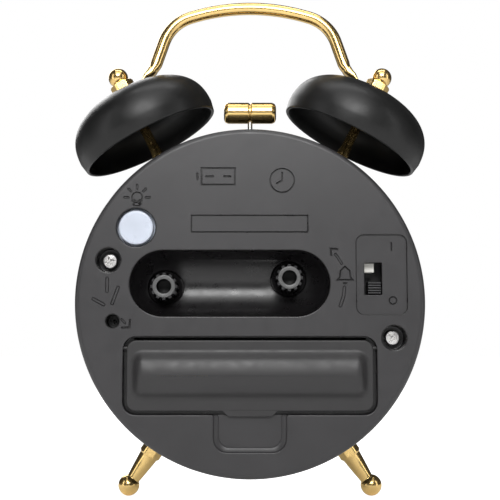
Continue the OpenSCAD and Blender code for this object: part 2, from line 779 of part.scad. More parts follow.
// Wire handle: arch, shoulders, legs and flares of round wire, flattened to straps on the crowns
crown_at = [drum_r*sin(post_angle) + crown*sin(bell_tilt), drum_r*cos(post_angle) + crown*cos(bell_tilt)];
leg_point = crown_at + [leg_offset.x*cos(bell_tilt) + leg_offset.y*sin(bell_tilt),
    -leg_offset.x*sin(bell_tilt) + leg_offset.y*cos(bell_tilt)];
handle_top = crown_at.y + handle_rise;
leg_normal = [sin(leg_angle), cos(leg_angle)];
shoulder_angle = leg_angle - acos((leg_normal*leg_point - shoulder_r - leg_normal.y*(handle_top - arch_r))
    /(arch_r - shoulder_r));
shoulder_at = [0, handle_top - arch_r] + (arch_r - shoulder_r)*[sin(shoulder_angle), cos(shoulder_angle)];
flare_turn = 34;
flare_back = 4.2;
flare_start = leg_point - flare_back*[cos(leg_angle), -sin(leg_angle)];
flare_centre = flare_start + flare_r*leg_normal;

// Closed skin over a row of rings, each with the same number of points
module skin(rings) {
    n = len(rings);
    m = len(rings[0]);
    polyhedron([for (r = rings, p = r) p], concat([[for (k = [m - 1:-1:0]) k]],
        [for (i = [0:n - 2], k = [0:m - 1])
            [i*m + k, i*m + (k + 1)%m, (i + 1)*m + (k + 1)%m, (i + 1)*m + k]],
        [[for (k = [0:m - 1]) (n - 1)*m + k]]), convexity = 6);
}

strap_from = -4.9;                  // sideways place, in the bell's frame, where the wire is flat
strap_to = -2.2;
eye_r = 3.1;

// Height of the crown's surface above the rim's end of the post, at a distance x from the post
function crown_rise(x) = bell_stand + 3 + (bell_h - 3)*pow(1 - pow(abs(x)/bell_r, bell_power), 1/bell_power);
function crown_slope(x) = atan2(crown_rise(x + 0.05) - crown_rise(x - 0.05), 0.1);
function from_bell(x, z) = [drum_r*sin(post_angle) + x*cos(bell_tilt) + z*sin(bell_tilt),
    drum_r*cos(post_angle) - x*sin(bell_tilt) + z*cos(bell_tilt)];

// Stations of one half of the handle: [x, z, lean of the section, half thickness, half width]
half_wire = wire_d/2;
half_handle = concat(
    [for (i = [1:5]) let (a = shoulder_angle*i/5)
        concat([0, handle_top - arch_r] + arch_r*[sin(a), cos(a)], [a, half_wire, half_wire])],
    [for (i = [1:8]) let (a = shoulder_angle + (leg_angle - shoulder_angle)*i/8)
        concat(shoulder_at + shoulder_r*[sin(a), cos(a)], [a, half_wire, half_wire])],
    [for (i = [0:6]) let (a = leg_angle - flare_turn*i/6)
        concat(flare_centre - flare_r*[sin(a), cos(a)], [a, half_wire - 0.14*i, half_wire + 0.12*i])],
    [for (x = [strap_from:1:strap_to])
        concat(from_bell(x, crown_rise(x) + gap/2 + strap_t/2), [bell_tilt - crown_slope(x), strap_t/2 - gap/2,
            strap_w/2])]);

function handle_ring(st, side) = [for (k = [0:15]) let (c = st[3]*cos(k*22.5), w = st[4]*sin(k*22.5))
    [side*(st[0] + c*sin(st[2])), w, case_z + st[1] + c*cos(st[2])]];

module handle() {
    top = [0, handle_top, 0, half_wire, half_wire];
    last = len(half_handle) - 1;
    color([0.85, 0.68, 0.32]) difference() {
        union() {
            skin(concat([for (i = [last:-1:0]) handle_ring(half_handle[i], -1)], [handle_ring(top, 1)],
                [for (st = half_handle) handle_ring(st, 1)]));
            for (side = [-1, 1])
                on_post(side) translate([0, 0, crown + gap/2]) cylinder(r = eye_r, h = strap_t, $fn = small_fn);
        }
        for (side = [-1, 1])
            on_post(side) cylinder(r = post_stud_r + fit, h = 2*crown, $fn = small_fn);
    }
}

module hammer_head() {
    r = hammer_d/2;
    bevel = 1.2;
    color([0.85, 0.68, 0.32]) at([0, hammer_z]) difference() {
        rotate([0, 90, 0]) rotate_extrude($fn = round_fn) polygon([[0, -hammer_l/2], [r - bevel, -hammer_l/2],
            [r, -hammer_l/2 + bevel], [r, -0.35], [r - 0.25, -0.15], [r - 0.25, 0.15], [r, 0.35],
            [r, hammer_l/2 - bevel], [r - bevel, hammer_l/2], [0, hammer_l/2]]);
        translate([0, 0, -r - 1]) cylinder(r = arm_r + fit/2, h = r + 2, $fn = small_fn);
    }
}

module hammer_arm() {
    color([0.75, 0.75, 0.75]) at([0, pivot_z]) difference() {
        union() {
            plate(-1.6, 1.6) hole(1.7);
            cylinder(r = arm_r, h = hammer_z - pivot_z + 0.9, $fn = small_fn);
            translate([-0.6, -1.2, armature_z - pivot_z]) cube([1.2, 2.4, pivot_z - armature_z]);
            translate([-0.9, -2.2, armature_z - pivot_z - 2.2]) cube([1.8, 4.4, 4.4]);
        }
        plate(-3, 3) hole(0.6 + fit);
    }
}

module hammer_pin() {
    color([0.75, 0.75, 0.75]) at([0, pivot_z]) {
        plate(-3.3, 4.6) hole(0.6);
        plate(4.5, 5) hole(1.1);
    }
}

// Return spring: turns around the pin in front of the arm's hub
module hammer_spring() {
    color([0.8, 0.8, 0.78]) at([0, pivot_z]) {
        for (i = [0:3])
            translate([0, 1.95 + i*0.3, 0]) rotate([90, 0, 0]) rotate_extrude($fn = small_fn)
                translate([1.1, 0]) circle(r = 0.17, $fn = 16);
        translate([1.1, 1.95, -6]) cylinder(r = 0.17, h = 6, $fn = 16);
    }
}

module ringer_coil() {
    color([0.75, 0.4, 0.2]) at([coil_x, armature_z]) rotate([0, 90, 0]) rotate_extrude($fn = round_fn)
        polygon([[1.7, 0], [coil_r, 0], [coil_r, 0.8], [coil_r - 0.5, 0.8], [coil_r - 0.5, coil_l - 0.8],
            [coil_r, coil_l - 0.8], [coil_r, coil_l], [1.7, coil_l]]);
}

module ringer_core() {
    color([0.6, 0.6, 0.6]) at([coil_x - 0.9, armature_z]) rotate([0, 90, 0])
        cylinder(r = 1.6, h = coil_l + 1.9, $fn = small_fn);
}

// Folded bracket that holds the coil's core and the pivot pin; its foot lies against the drum
module ringer_bracket() {
    far = coil_x + coil_l + 1;
    top = sqrt(pow(drum_in - gap, 2) - 16);
    color([0.7, 0.7, 0.7]) {
        at() translate([-4, 5.1, top - 1]) cube([8, 5.5, 1]);
        at() difference() {
            plate(5.1, 6.1) polygon([[-4, armature_z - 4.5], [far + 1.2, armature_z - 4.5],
                [far + 1.2, armature_z + 4.5], [4, pivot_z + 3], [4, top - thin], [-4, top - thin]]);
            translate([0, 0, pivot_z]) plate(0, 8) hole(0.65);
        }
        at() difference() {
            translate([far, -4, armature_z - 4.5]) cube([1.2, 9.2, 9]);
            translate([far - 1, 0, armature_z]) rotate([0, 90, 0])
                cylinder(r = 1.6 + fit, h = 4, $fn = small_fn);
        }
    }
}

module foot(side) {
    taper_end = foot_l - 2.4;
    taper_start = foot_l - 9.9;
    color([0.85, 0.68, 0.32]) on_foot(side) {
        translate([0, 0, -5]) cylinder(r = foot_stud_r, h = 6, $fn = small_fn);
        translate([0, 0, 0.25]) linear_extrude(taper_start - 0.25) hexagon(foot_hex_af);
        translate([0, 0, taper_start - thin]) cylinder(r1 = 2.7, r2 = 1.85, h = taper_end - taper_start,
            $fn = round_fn);
        translate([0, 0, foot_l]) sphere(r = foot_ball_r, $fn = round_fn);
    }
}

module foot_right() {
    foot(1);
}

module foot_left() {
    foot(-1);
}

module foot_nuts() {
    color([0.75, 0.75, 0.75]) for (side = [-1, 1])
        on_foot(side) translate([0, 0, -drum_wall - 2.6]) difference() {
            linear_extrude(2) hexagon(5);
            translate([0, 0, -1]) cylinder(r = foot_stud_r + fit, h = 4, $fn = small_fn);
        }
}

// ---- movement ------------------------------------------------------------

module move_outline(grow) {
    translate([move_x[0] - grow, move_z[0] - grow])
        square([move_x[1] - move_x[0] + 2*grow, move_z[1] - move_z[0] + 2*grow]);
}

move_posts = [[move_x[0] + 3, move_z[1] - 3], [move_x[1] - 3, move_z[0] + 3], [move_x[0] + 3, move_z[0] + 3]];

module movement_base() {
    color([0.92, 0.92, 0.9]) at() difference() {
        union() {
            plate(dial_back + fit, train_y) move_outline(0);
            plate(train_y - thin, train_y + train_h) difference() {
                move_outline(0);
                move_outline(-move_wall);
            }
            for (p = move_posts)
                translate([p.x, 0, p.y]) plate(train_y - thin, train_y + train_h) hole(2);
            translate([motion_at.x, 0, motion_at.y]) plate(train_y - thin, train_y + 4.6) hole(0.45);
        }
        plate(0 - case_depth, train_y + 1) hole(alarm_tube_r + fit);
        for (p = [time_knob_at, alarm_knob_at])
            translate([p.x, 0, p.y]) plate(train_y - 0.8, train_y + 0.1) hole(0.8 + fit);
        for (p = [third_at, inter_at, rotor_at])
            translate([p.x, 0, p.y]) plate(train_y - 0.8, train_y + 0.1) hole(arbor_r + fit);
        for (p = move_posts)
            translate([p.x, 0, p.y]) plate(train_y + 5, train_y + train_h + 1) hole(0.8);
    }
}

module movement_cover() {
    inside = train_y + train_h + gap/2;
    color([0.92, 0.92, 0.9]) at() difference() {
        plate(inside, inside + plate_t) move_outline(0);
        for (p = [time_knob_at, alarm_knob_at])
            translate([p.x, 0, p.y]) plate(inside - 1, inside + 2) hole(spindle_r + fit);
        for (p = [third_at, inter_at, rotor_at])
            translate([p.x, 0, p.y]) plate(inside - 1, inside + 0.7) hole(arbor_r + fit);
        plate(inside - 1, inside + 0.7) hole(second_r + fit);
        for (p = move_posts)
            translate([p.x, 0, p.y]) plate(inside - 1, inside + 2) hole(0.8);
    }
}

module movement_screws() {
    back = train_y + train_h + plate_t + gap;
    color([0.75, 0.75, 0.75]) for (p = move_posts)
        at(p) {
            plate(back - 7, back) hole(0.75);
            plate(back - thin, back + 0.9) hole(1.5);
        }
}

drive_at = [0, -17.3];

module drive_coil() {
    color([0.75, 0.4, 0.2]) at(drive_at) translate([-9, train_y + 10.8, 0]) rotate([0, 90, 0])
        rotate_extrude($fn = small_fn) polygon([[0.85, 0], [2.4, 0], [2.4, 0.6], [2.2, 0.6], [2.2, 17.4],
            [2.4, 17.4], [2.4, 18], [0.85, 18]]);
}

module drive_core() {
    color([0.6, 0.6, 0.6]) at(drive_at) {
        translate([-14, train_y + 10.3, -0.5]) cube([28, 1, 1]);
        for (x = [-15.5, 11.5])
            translate([x, train_y + 10.3, -1.2]) cube([4, 1, 2.8]);
    }
}

// Lavet stator: a plate with the rotor's hole between its two poles
module stator() {
    y0 = train_y + 11.4;
    color([0.65, 0.65, 0.67]) at() difference() {
        plate(y0, y0 + 0.8) {
            translate([rotor_at.x - 4.6, drive_at.y - 1.2]) square([9.2, rotor_at.y - drive_at.y + 5.8]);
            translate([rotor_at.x, rotor_at.y - 3.6]) square([14 - rotor_at.x, 1.9]);
            translate([11.5, drive_at.y - 1.2]) square([4, rotor_at.y - drive_at.y - 0.6]);
        }
        translate([rotor_at.x, 0, rotor_at.y]) plate(y0 - 1, y0 + 2) {
            hole(3.5);
            for (a = [45, 225])
                translate(turn(3.4, a)) circle(r = 0.5, $fn = 24);
        }
    }
}

// Arbor along Y between two heights above the front plate
module arbor(p, r, u0, u1) {
    at(p) plate(train_y + u0, train_y + u1) hole(r);
}

module wheel(p, n, m, a, u0, u1) {
    at(p) plate(train_y + u0, train_y + u1) gear(n, m, a);
}

module rotor() {
    color([0.3, 0.3, 0.33]) {
        arbor(rotor_at, arbor_r, -0.7, train_h + 0.6);
        wheel(rotor_at, 10, rotor_m, rotor_turn, 9.3, 10.5);
        arbor(rotor_at, 3, 10.9, 13.1);
        arbor(rotor_at, 0.9, 10.4, 11);
    }
}

module intermediate_wheel() {
    color([0.9, 0.9, 0.85]) {
        arbor(inter_at, arbor_r, -0.7, train_h + 0.6);
        wheel(inter_at, 8, second_m, inter_pinion_turn, 8, 9.1);
        wheel(inter_at, 60, rotor_m, 0, 9.6, 10.2);
        arbor(inter_at, 1, 9, 9.7);
    }
}

module second_wheel() {
    color([0.9, 0.9, 0.85]) {
        arbor([0, 0], second_r, second_hand_y - 0.4 - train_y, train_h + 0.6);
        wheel([0, 0], 8, third_m, 0, 6.5, 7.7);
        wheel([0, 0], 40, second_m, 0, 8.2, 8.8);
        arbor([0, 0], 0.8, 7.6, 8.3);
    }
}

module third_wheel() {
    color([0.9, 0.9, 0.85]) {
        arbor(third_at, arbor_r, -0.7, train_h + 0.6);
        wheel(third_at, 64, third_m, third_wheel_turn, 6.8, 7.4);
        arbor(third_at, 1.2, 7.3, 8.2);
    }
}

module third_pinion() {
    color([0.85, 0.85, 0.8]) difference() {
        union() {
            wheel(third_at, 8, centre_m, third_pinion_turn, 4.7, 6.1);
            arbor(third_at, 1, 3.8, 4.8);
        }
        arbor(third_at, arbor_r + fit, 0, 8);
    }
}

// Minute tube with the centre wheel and the cannon pinion
module centre_wheel() {
    color([0.9, 0.9, 0.85]) difference() {
        union() {
            arbor([0, 0], minute_tube_r, minute_hand_y - 0.4 - train_y, 6.2);
            wheel([0, 0], 12, motion_m, 0, 3.3, 4.4);
            wheel([0, 0], 60, centre_m, 0, 5, 5.8);
        }
        arbor([0, 0], second_r + fit, minute_hand_y - 1 - train_y, 7);
    }
}

module motion_wheel() {
    color([0.9, 0.9, 0.85]) difference() {
        union() {
            wheel(motion_at, 36, motion_m, motion_turn, 3.4, 4.2);
            wheel(motion_at, 10, hour_m, 0, 1.8, 3.5);
        }
        arbor(motion_at, 0.45 + fit, 0, 5);
    }
}

module hour_wheel() {
    color([0.9, 0.9, 0.85]) difference() {
        union() {
            arbor([0, 0], hour_tube_r, hour_hand_y - 0.4 - train_y, 2.9);
            wheel([0, 0], 40, hour_m, hour_turn, 2, 2.8);
        }
        arbor([0, 0], minute_tube_r + fit, hour_hand_y - 1 - train_y, 4);
    }
}

module alarm_wheel() {
    color([0.9, 0.9, 0.85]) difference() {
        union() {
            arbor([0, 0], alarm_tube_r, alarm_hand_y - 0.4 - train_y, 1.7);
            wheel([0, 0], 40, alarm_m, 0, 0.6, 1.4);
        }
        arbor([0, 0], hour_tube_r + fit, alarm_hand_y - 1 - train_y, 3);
    }
}

module circuit_board() {
    color([0.1, 0.35, 0.15]) at() {
        plate(train_y + 12.2, train_y + 13) translate([move_x[0] + move_wall + 0.3, -2]) square([11.6, 12.4]);
        translate([-20, 0, 6]) plate(train_y + 11.2, train_y + 12.2 + thin) hole(2.2);
    }
}

module quartz_crystal() {
    color([0.8, 0.8, 0.8]) at([-24, -1.6]) translate([0, train_y + 10.9, 0]) {
        cylinder(r = 1, h = 6, $fn = small_fn);
        for (s = [-1, 1])
            translate([s*0.4, 0, 5.9]) cylinder(r = 0.15, h = 1.6, $fn = 16);
    }
}

// ---- hands ---------------------------------------------------------------

// Flat hand: a boss on its tube, a tapering blade and a short tail
module hand(y, a, l, w, tail, boss_r, bore_r) {
    color([0.08, 0.08, 0.08]) at() plate(y - hand_t/2, y + hand_t/2) difference() {
        union() {
            hole(boss_r);
            rotate(a) polygon([[-tail, -w*0.35], [0, -w/2], [l - w*0.8, -w*0.3], [l, 0], [l - w*0.8, w*0.3],
                [0, w/2], [-tail, w*0.35]]);
        }
        hole(bore_r);
    }
}

module alarm_hand() {
    hand(alarm_hand_y, alarm_angle, 17, 1.2, 3.6, 3.3, alarm_tube_r + 0.01);
}

module hour_hand() {
    hand(hour_hand_y, hour_angle, 21, 3, 4.2, 3, hour_tube_r + 0.01);
}

module minute_hand() {
    hand(minute_hand_y, minute_angle, 31, 2.4, 4.6, 2.4, minute_tube_r + 0.01);
}

module second_hand() {
    hand(second_hand_y, second_angle, 33, 0.8, 9, 1.7, second_r + 0.01);
}

case_drum();
front_bezel();
lens();
dial_ring();
dial();
back_cover();
cover_screws();
battery_door();
battery_cell();
spring_contact();
plate_contact();
light_button();
push_switch();
switch_slider();
switch_body();
switch_block();
dial_lamp();
time_knob();
alarm_knob();
time_spindle();
alarm_spindle();
bell_right();
bell_left();
bell_posts();
post_nuts();
acorn_nuts();
handle();
hammer_head();
hammer_arm();
hammer_pin();
hammer_spring();
ringer_coil();
ringer_core();
ringer_bracket();
foot_right();
foot_left();
foot_nuts();
movement_base();
movement_cover();
movement_screws();
drive_coil();
drive_core();
stator();
rotor();
intermediate_wheel();
second_wheel();
third_wheel();
third_pinion();
centre_wheel();
motion_wheel();
hour_wheel();
alarm_wheel();
circuit_board();
quartz_crystal();
alarm_hand();
hour_hand();
minute_hand();
second_hand();
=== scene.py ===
"""Builds the pieces and finishes of a twin-bell alarm clock around its CAD frame.

The dial faces -Y and +Z is up. Lengths are in metres, written as a number of millimetres times MM.
"""

import json
import math

import bmesh
import bpy
import numpy as np
from bpy.props import FloatProperty, FloatVectorProperty, IntProperty, PointerProperty
from mathutils import Matrix, Vector
from mathutils.geometry import delaunay_2d_cdt


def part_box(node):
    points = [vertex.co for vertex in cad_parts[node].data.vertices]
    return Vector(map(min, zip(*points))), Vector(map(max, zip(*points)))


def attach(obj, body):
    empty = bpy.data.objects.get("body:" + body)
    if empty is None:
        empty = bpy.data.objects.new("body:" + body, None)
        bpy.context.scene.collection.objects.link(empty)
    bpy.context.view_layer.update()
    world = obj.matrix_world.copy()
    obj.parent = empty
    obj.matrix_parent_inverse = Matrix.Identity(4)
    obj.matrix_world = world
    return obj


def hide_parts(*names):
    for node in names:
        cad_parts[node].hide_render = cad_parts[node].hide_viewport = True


bl_info = {
    "name": "Twin-bell alarm clock",
    "version": (1, 0, 0),
    "blender": (4, 5, 0),
    "location": "View3D > Sidebar > Clock",
    "description": "Builds the pieces and finishes of a twin-bell alarm clock around its CAD frame",
    "category": "Add Mesh",
}

MM = 0.001
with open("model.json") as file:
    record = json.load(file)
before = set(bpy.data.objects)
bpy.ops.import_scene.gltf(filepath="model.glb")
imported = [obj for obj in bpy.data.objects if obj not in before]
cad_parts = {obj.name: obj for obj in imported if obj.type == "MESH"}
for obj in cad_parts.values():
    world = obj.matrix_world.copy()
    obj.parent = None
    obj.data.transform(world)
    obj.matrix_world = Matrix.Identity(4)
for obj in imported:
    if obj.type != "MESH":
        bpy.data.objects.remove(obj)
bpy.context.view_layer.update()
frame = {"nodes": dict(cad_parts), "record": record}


def length(name, description, millimetres):
    """Property for a length, given in millimetres."""
    return FloatProperty(name=name, description=description, default=millimetres * MM, unit="LENGTH")


def tone(name, description, color):
    """Property for a linear colour."""
    return FloatVectorProperty(name=name, description=description, subtype="COLOR", default=color)


def middle(node):
    """Middle of a CAD node's box."""
    low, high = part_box(node)
    return (low + high) / 2


CASE_R = (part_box("back_cover")[1].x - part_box("back_cover")[0].x) / 2
CASE_Z = middle("back_cover").z
BACK_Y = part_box("back_cover")[1].y
DIAL_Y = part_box("dial")[0].y
DOOR_TOP = 0.3 * MM


# ---- meshes ----------------------------------------------------------------


def quads(rows, columns, wrap=True):
    """Faces of a grid of points, row after row; with wrap the last column joins the first."""
    column = np.arange(columns if wrap else columns - 1)
    a = np.arange(rows - 1)[:, None] * columns + column
    b = np.arange(rows - 1)[:, None] * columns + (column + 1) % columns
    return np.stack([a, b, b + columns, a + columns], -1).reshape(-1, 4)


def sheet(grid, wrap=True, smooth=True, finish=0):
    """One part of a piece: a grid of points (rows, columns, 3) as a surface of quads."""
    rows, columns = grid.shape[:2]
    return grid.reshape(-1, 3), quads(rows, columns, wrap), smooth, finish


def add_piece(name, parts, finishes, body, replaced=None, facing=None):
    """Joins parts into one mesh and hangs it under its body's empty.

    A part's number picks one of the finishes, and a node that the piece replaces is hidden.
    Points that coincide are merged, which closes seams and poles. Faces then turn outwards, or towards
    facing where the piece is an open skin.
    """
    points, faces, smooth, finish, start = [], [], [], [], 0
    for vertices, corners, is_smooth, index in parts:
        points += vertices.tolist()
        faces += (corners + start).tolist()
        smooth += [is_smooth] * len(corners)
        finish += [index] * len(corners)
        start += len(vertices)
    mesh = bpy.data.meshes.new(name)
    mesh.from_pydata(points, [], faces)
    mesh.polygons.foreach_set("use_smooth", smooth)
    mesh.polygons.foreach_set("material_index", finish)
    for key in finishes:
        mesh.materials.append(FINISHES[key])
    build = bmesh.new()
    build.from_mesh(mesh)
    bmesh.ops.remove_doubles(build, verts=build.verts, dist=2e-7)
    bmesh.ops.recalc_face_normals(build, faces=build.faces)
    if facing is not None and sum(f.calc_area() * f.normal.dot(Vector(facing)) for f in build.faces) < 0:
        bmesh.ops.reverse_faces(build, faces=build.faces)
    build.to_mesh(mesh)
    build.free()
    piece = bpy.data.objects.new(name, mesh)
    bpy.context.scene.collection.objects.link(piece)
    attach(piece, body)
    if replaced:
        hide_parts(replaced)
    return piece


def rounded(points, radii, steps=6):
    """Open line of straight runs whose corners are arcs: each arc of its radius touches both runs."""
    points = np.asarray(points, float)
    radii = np.broadcast_to(radii, len(points) - 2)
    line = [points[:1]]
    for before, corner, after, radius in zip(points, points[1:], points[2:], radii):
        u, v = before - corner, after - corner
        reach_u, reach_v = np.linalg.norm(u), np.linalg.norm(v)
        u, v = u / reach_u, v / reach_v
        half = np.arccos(np.clip(u @ v, -1, 1)) / 2
        if radius <= 0 or half > math.pi / 2 - 0.02:
            line.append(corner[None])
            continue
        cut = min(radius / np.tan(half), 0.49 * reach_u, 0.49 * reach_v)
        radius = cut * np.tan(half)
        centre = corner + (u + v) / np.linalg.norm(u + v) * radius / np.sin(half)
        share = np.linspace(0, 1, steps + 1)[:, None]
        chord = (corner + u * cut) * (1 - share) + (corner + v * cut) * share - centre
        line.append(centre + chord / np.linalg.norm(chord, axis=1)[:, None] * radius)
    return np.concatenate([*line, points[-1:]])


def turned(profile, count, place):
    """Surface of revolution: each [radius, height] of the profile goes round local Z, then to its place."""
    profile = np.asarray(profile, float)
    angle = np.linspace(0, 2 * np.pi, count, endpoint=False)
    radius, height = profile[:, :1], profile[:, 1:]
    grid = np.stack([radius * np.cos(angle), radius * np.sin(angle), height + 0 * angle], -1)
    return sheet(placed(grid, place))


def ringed(radius, height, place):
    """Surface whose radius (rows, columns) changes round local Z as well as along it."""
    angle = np.linspace(0, 2 * np.pi, radius.shape[1], endpoint=False)
    grid = np.stack([radius * np.cos(angle), radius * np.sin(angle), height + 0 * radius], -1)
    return sheet(placed(grid, place))


def placed(points, place):
    """Points moved by a 4x4 matrix."""
    matrix = np.array(place)
    return points @ matrix[:3, :3].T + matrix[:3, 3]


def along_y(x, z, y=0.0):
    """Place whose local Z runs along +Y from (x, y, z), x and z measured from the case centre."""
    return Matrix.Translation((x, y, CASE_Z + z)) @ Matrix.Rotation(-math.pi / 2, 4, "X")


def outline(corners, radii, grow=0.0, steps=8):
    """Closed outline with rounded corners and upright or level sides.

    radii is one number or one per corner. Every corner moves out by grow along both its sides, and its
    radius grows with it, or shrinks at an inner corner. grow may be an array, which gives one outline per
    value: the result is (values, points, 2).
    """
    corners, radii = np.asarray(corners, float), np.asarray(radii, float)
    grow = np.atleast_1d(np.asarray(grow, float))
    before, after = np.roll(corners, 1, 0) - corners, np.roll(corners, -1, 0) - corners
    before /= np.linalg.norm(before, axis=1)[:, None]
    after /= np.linalg.norm(after, axis=1)[:, None]
    side = np.sign(before[:, 0] * after[:, 1] - before[:, 1] * after[:, 0])
    area = np.sum(corners[:, 0] * np.roll(corners[:, 1], -1) - corners[:, 1] * np.roll(corners[:, 0], -1))
    bend = -side * np.sign(area)
    out = -(before + after) * bend[:, None]
    corner = corners + grow[:, None, None] * out
    radius = np.maximum(radii + grow[:, None] * bend, 1e-5)
    centre = corner + (before + after) * radius[..., None]
    share = np.linspace(0, np.pi / 2, steps + 1)
    turn = -before[:, None] * np.sin(share)[None, :, None] - after[:, None] * np.cos(share)[None, :, None]
    points = centre[:, :, None] + radius[..., None, None] * turn[None]
    return points.reshape(len(grow), -1, 2)


def on_cover(points, depth):
    """Points on the case's back: x and z from the case centre, and depth below the cover's flat face."""
    depth = np.broadcast_to(depth, points.shape[:-1])
    return np.stack([points[..., 0], BACK_Y - depth, points[..., 1] + CASE_Z], -1)


def inside(points, loop):
    """True where a point lies in a closed loop: a line from it crosses the loop an odd number of times."""
    a, b = loop[None], np.roll(loop, -1, 0)[None]
    x, z = points[:, :1], points[:, 1:]
    crosses = (a[..., 1] > z) != (b[..., 1] > z)
    rise = np.where(b[..., 1] == a[..., 1], 1e-12, b[..., 1] - a[..., 1])
    return np.sum(crosses & (x < a[..., 0] + (z - a[..., 1]) / rise * (b[..., 0] - a[..., 0])), 1) % 2 == 1


def triangulated(loops, spare=np.zeros((0, 2))):
    """Delaunay triangles over closed loops and spare points: points, triangles and triangle middles."""
    loops = [loop[np.linalg.norm(loop - np.roll(loop, 1, 0), axis=1) > 1e-7] for loop in loops]
    starts = np.cumsum([0, *map(len, loops)])
    edges = []
    for loop, start in zip(loops, starts):
        ahead = np.arange(len(loop))
        edges += (np.stack([ahead, (ahead + 1) % len(loop)], 1) + start).tolist()
    points = np.concatenate([*loops, spare])
    made = delaunay_2d_cdt([Vector(p) for p in points.tolist()], edges, [], 0, 1e-8)
    points, triangles = np.array([list(p) for p in made[0]]), np.array(made[2])
    return points, triangles, points[triangles].mean(1)


def flat_face(outer, holes=(), grooves=(), depth=0.0, groove_depth=0.0, finish=0):
    """Flat face between an outline and its holes, with engraved grooves.

    A triangle whose middle lies in a hole is left out, and one in a groove sinks to its floor. A groove is
    an outer loop and, where it closes on itself, an inner loop; a wall stands along each loop.
    """
    loops = [outer, *holes, *[loop for groove in grooves for loop in groove]]
    points, triangles, centre = triangulated(loops)
    kept = inside(centre, outer)
    for hole in holes:
        kept &= ~inside(centre, hole)
    sunk = np.zeros(len(triangles), bool)
    for groove in grooves:
        sunk |= np.sum([inside(centre, loop) for loop in groove], 0) % 2 == 1
    parts = [(on_cover(points, depth), triangles[kept & ~sunk], False, finish)]
    if len(grooves):
        # Groove floors and walls take finish 1, whose darker colour is painted shade in the grooves.
        parts.append((on_cover(points, depth + groove_depth), triangles[kept & sunk], False, 1))
        for loop in [loop for groove in grooves for loop in groove]:
            wall = np.stack([on_cover(loop, depth), on_cover(loop, depth + groove_depth)])
            parts.append(sheet(wall, smooth=False, finish=1))
    return parts


def groove(points, width, closed=False):
    """Groove along a line: the line is moved half the width to each side, with mitred corners."""
    points = np.asarray(points, float) * MM
    half = width * MM / 2
    ahead = np.roll(points, -1, 0) - points
    ahead /= np.linalg.norm(ahead, axis=1)[:, None]
    if not closed:
        ahead[-1] = ahead[-2]
    behind = np.roll(ahead, 1, 0)
    if not closed:
        behind[0] = ahead[0]
    normal = np.stack([-(ahead + behind)[:, 1], (ahead + behind)[:, 0]], 1)
    normal /= np.linalg.norm(normal, axis=1)[:, None]
    mitre = half / np.clip(normal[:, 0] * -ahead[:, 1] + normal[:, 1] * ahead[:, 0], 0.35, 1)
    left, right = points + normal * mitre[:, None], points - normal * mitre[:, None]
    if closed:
        return [left, right]
    cap = np.linspace(0, np.pi, 7)[1:-1, None]

    def end(at, side, out):
        """Half circle round an end of the line."""
        return at + half * (side * np.cos(cap) + out * np.sin(cap))

    return [np.concatenate([left, end(points[-1], normal[-1], ahead[-1]), right[::-1],
                            end(points[0], -normal[0], -ahead[0])])]


def circle(radius, at=(0, 0), count=40):
    """Points round a circle, in millimetres."""
    angle = np.linspace(0, 2 * np.pi, count, endpoint=False)[:, None]
    return np.asarray(at) + radius * np.concatenate([np.cos(angle), np.sin(angle)], 1)


def recess(corners, radii, profile, finish=0, steps=8):
    """Wall of a recess: the profile's points say how far its outline is grown, and the depth there."""
    profile = np.asarray(profile, float)
    rings = outline(corners, radii, profile[:, 0], steps)
    return sheet(on_cover(rings, profile[:, 1][:, None]), finish=finish)


def box_corners(width, height, at=(0, 0)):
    """Corners of a rectangle about a place on the cover."""
    w, h = width / 2, height / 2
    return np.array([[-w, -h], [w, -h], [w, h], [-w, h]]) + at


def edge_profile(edge, depth, foot=0.0):
    """Rounded edge, upright wall and rounded foot of a recess, as [grow, depth] points."""
    return rounded([[edge * 3, 0], [0, 0], [0, depth], [-foot * 3 - 1e-6, depth]], [edge, foot], 5)[1:]


# ---- finishes --------------------------------------------------------------


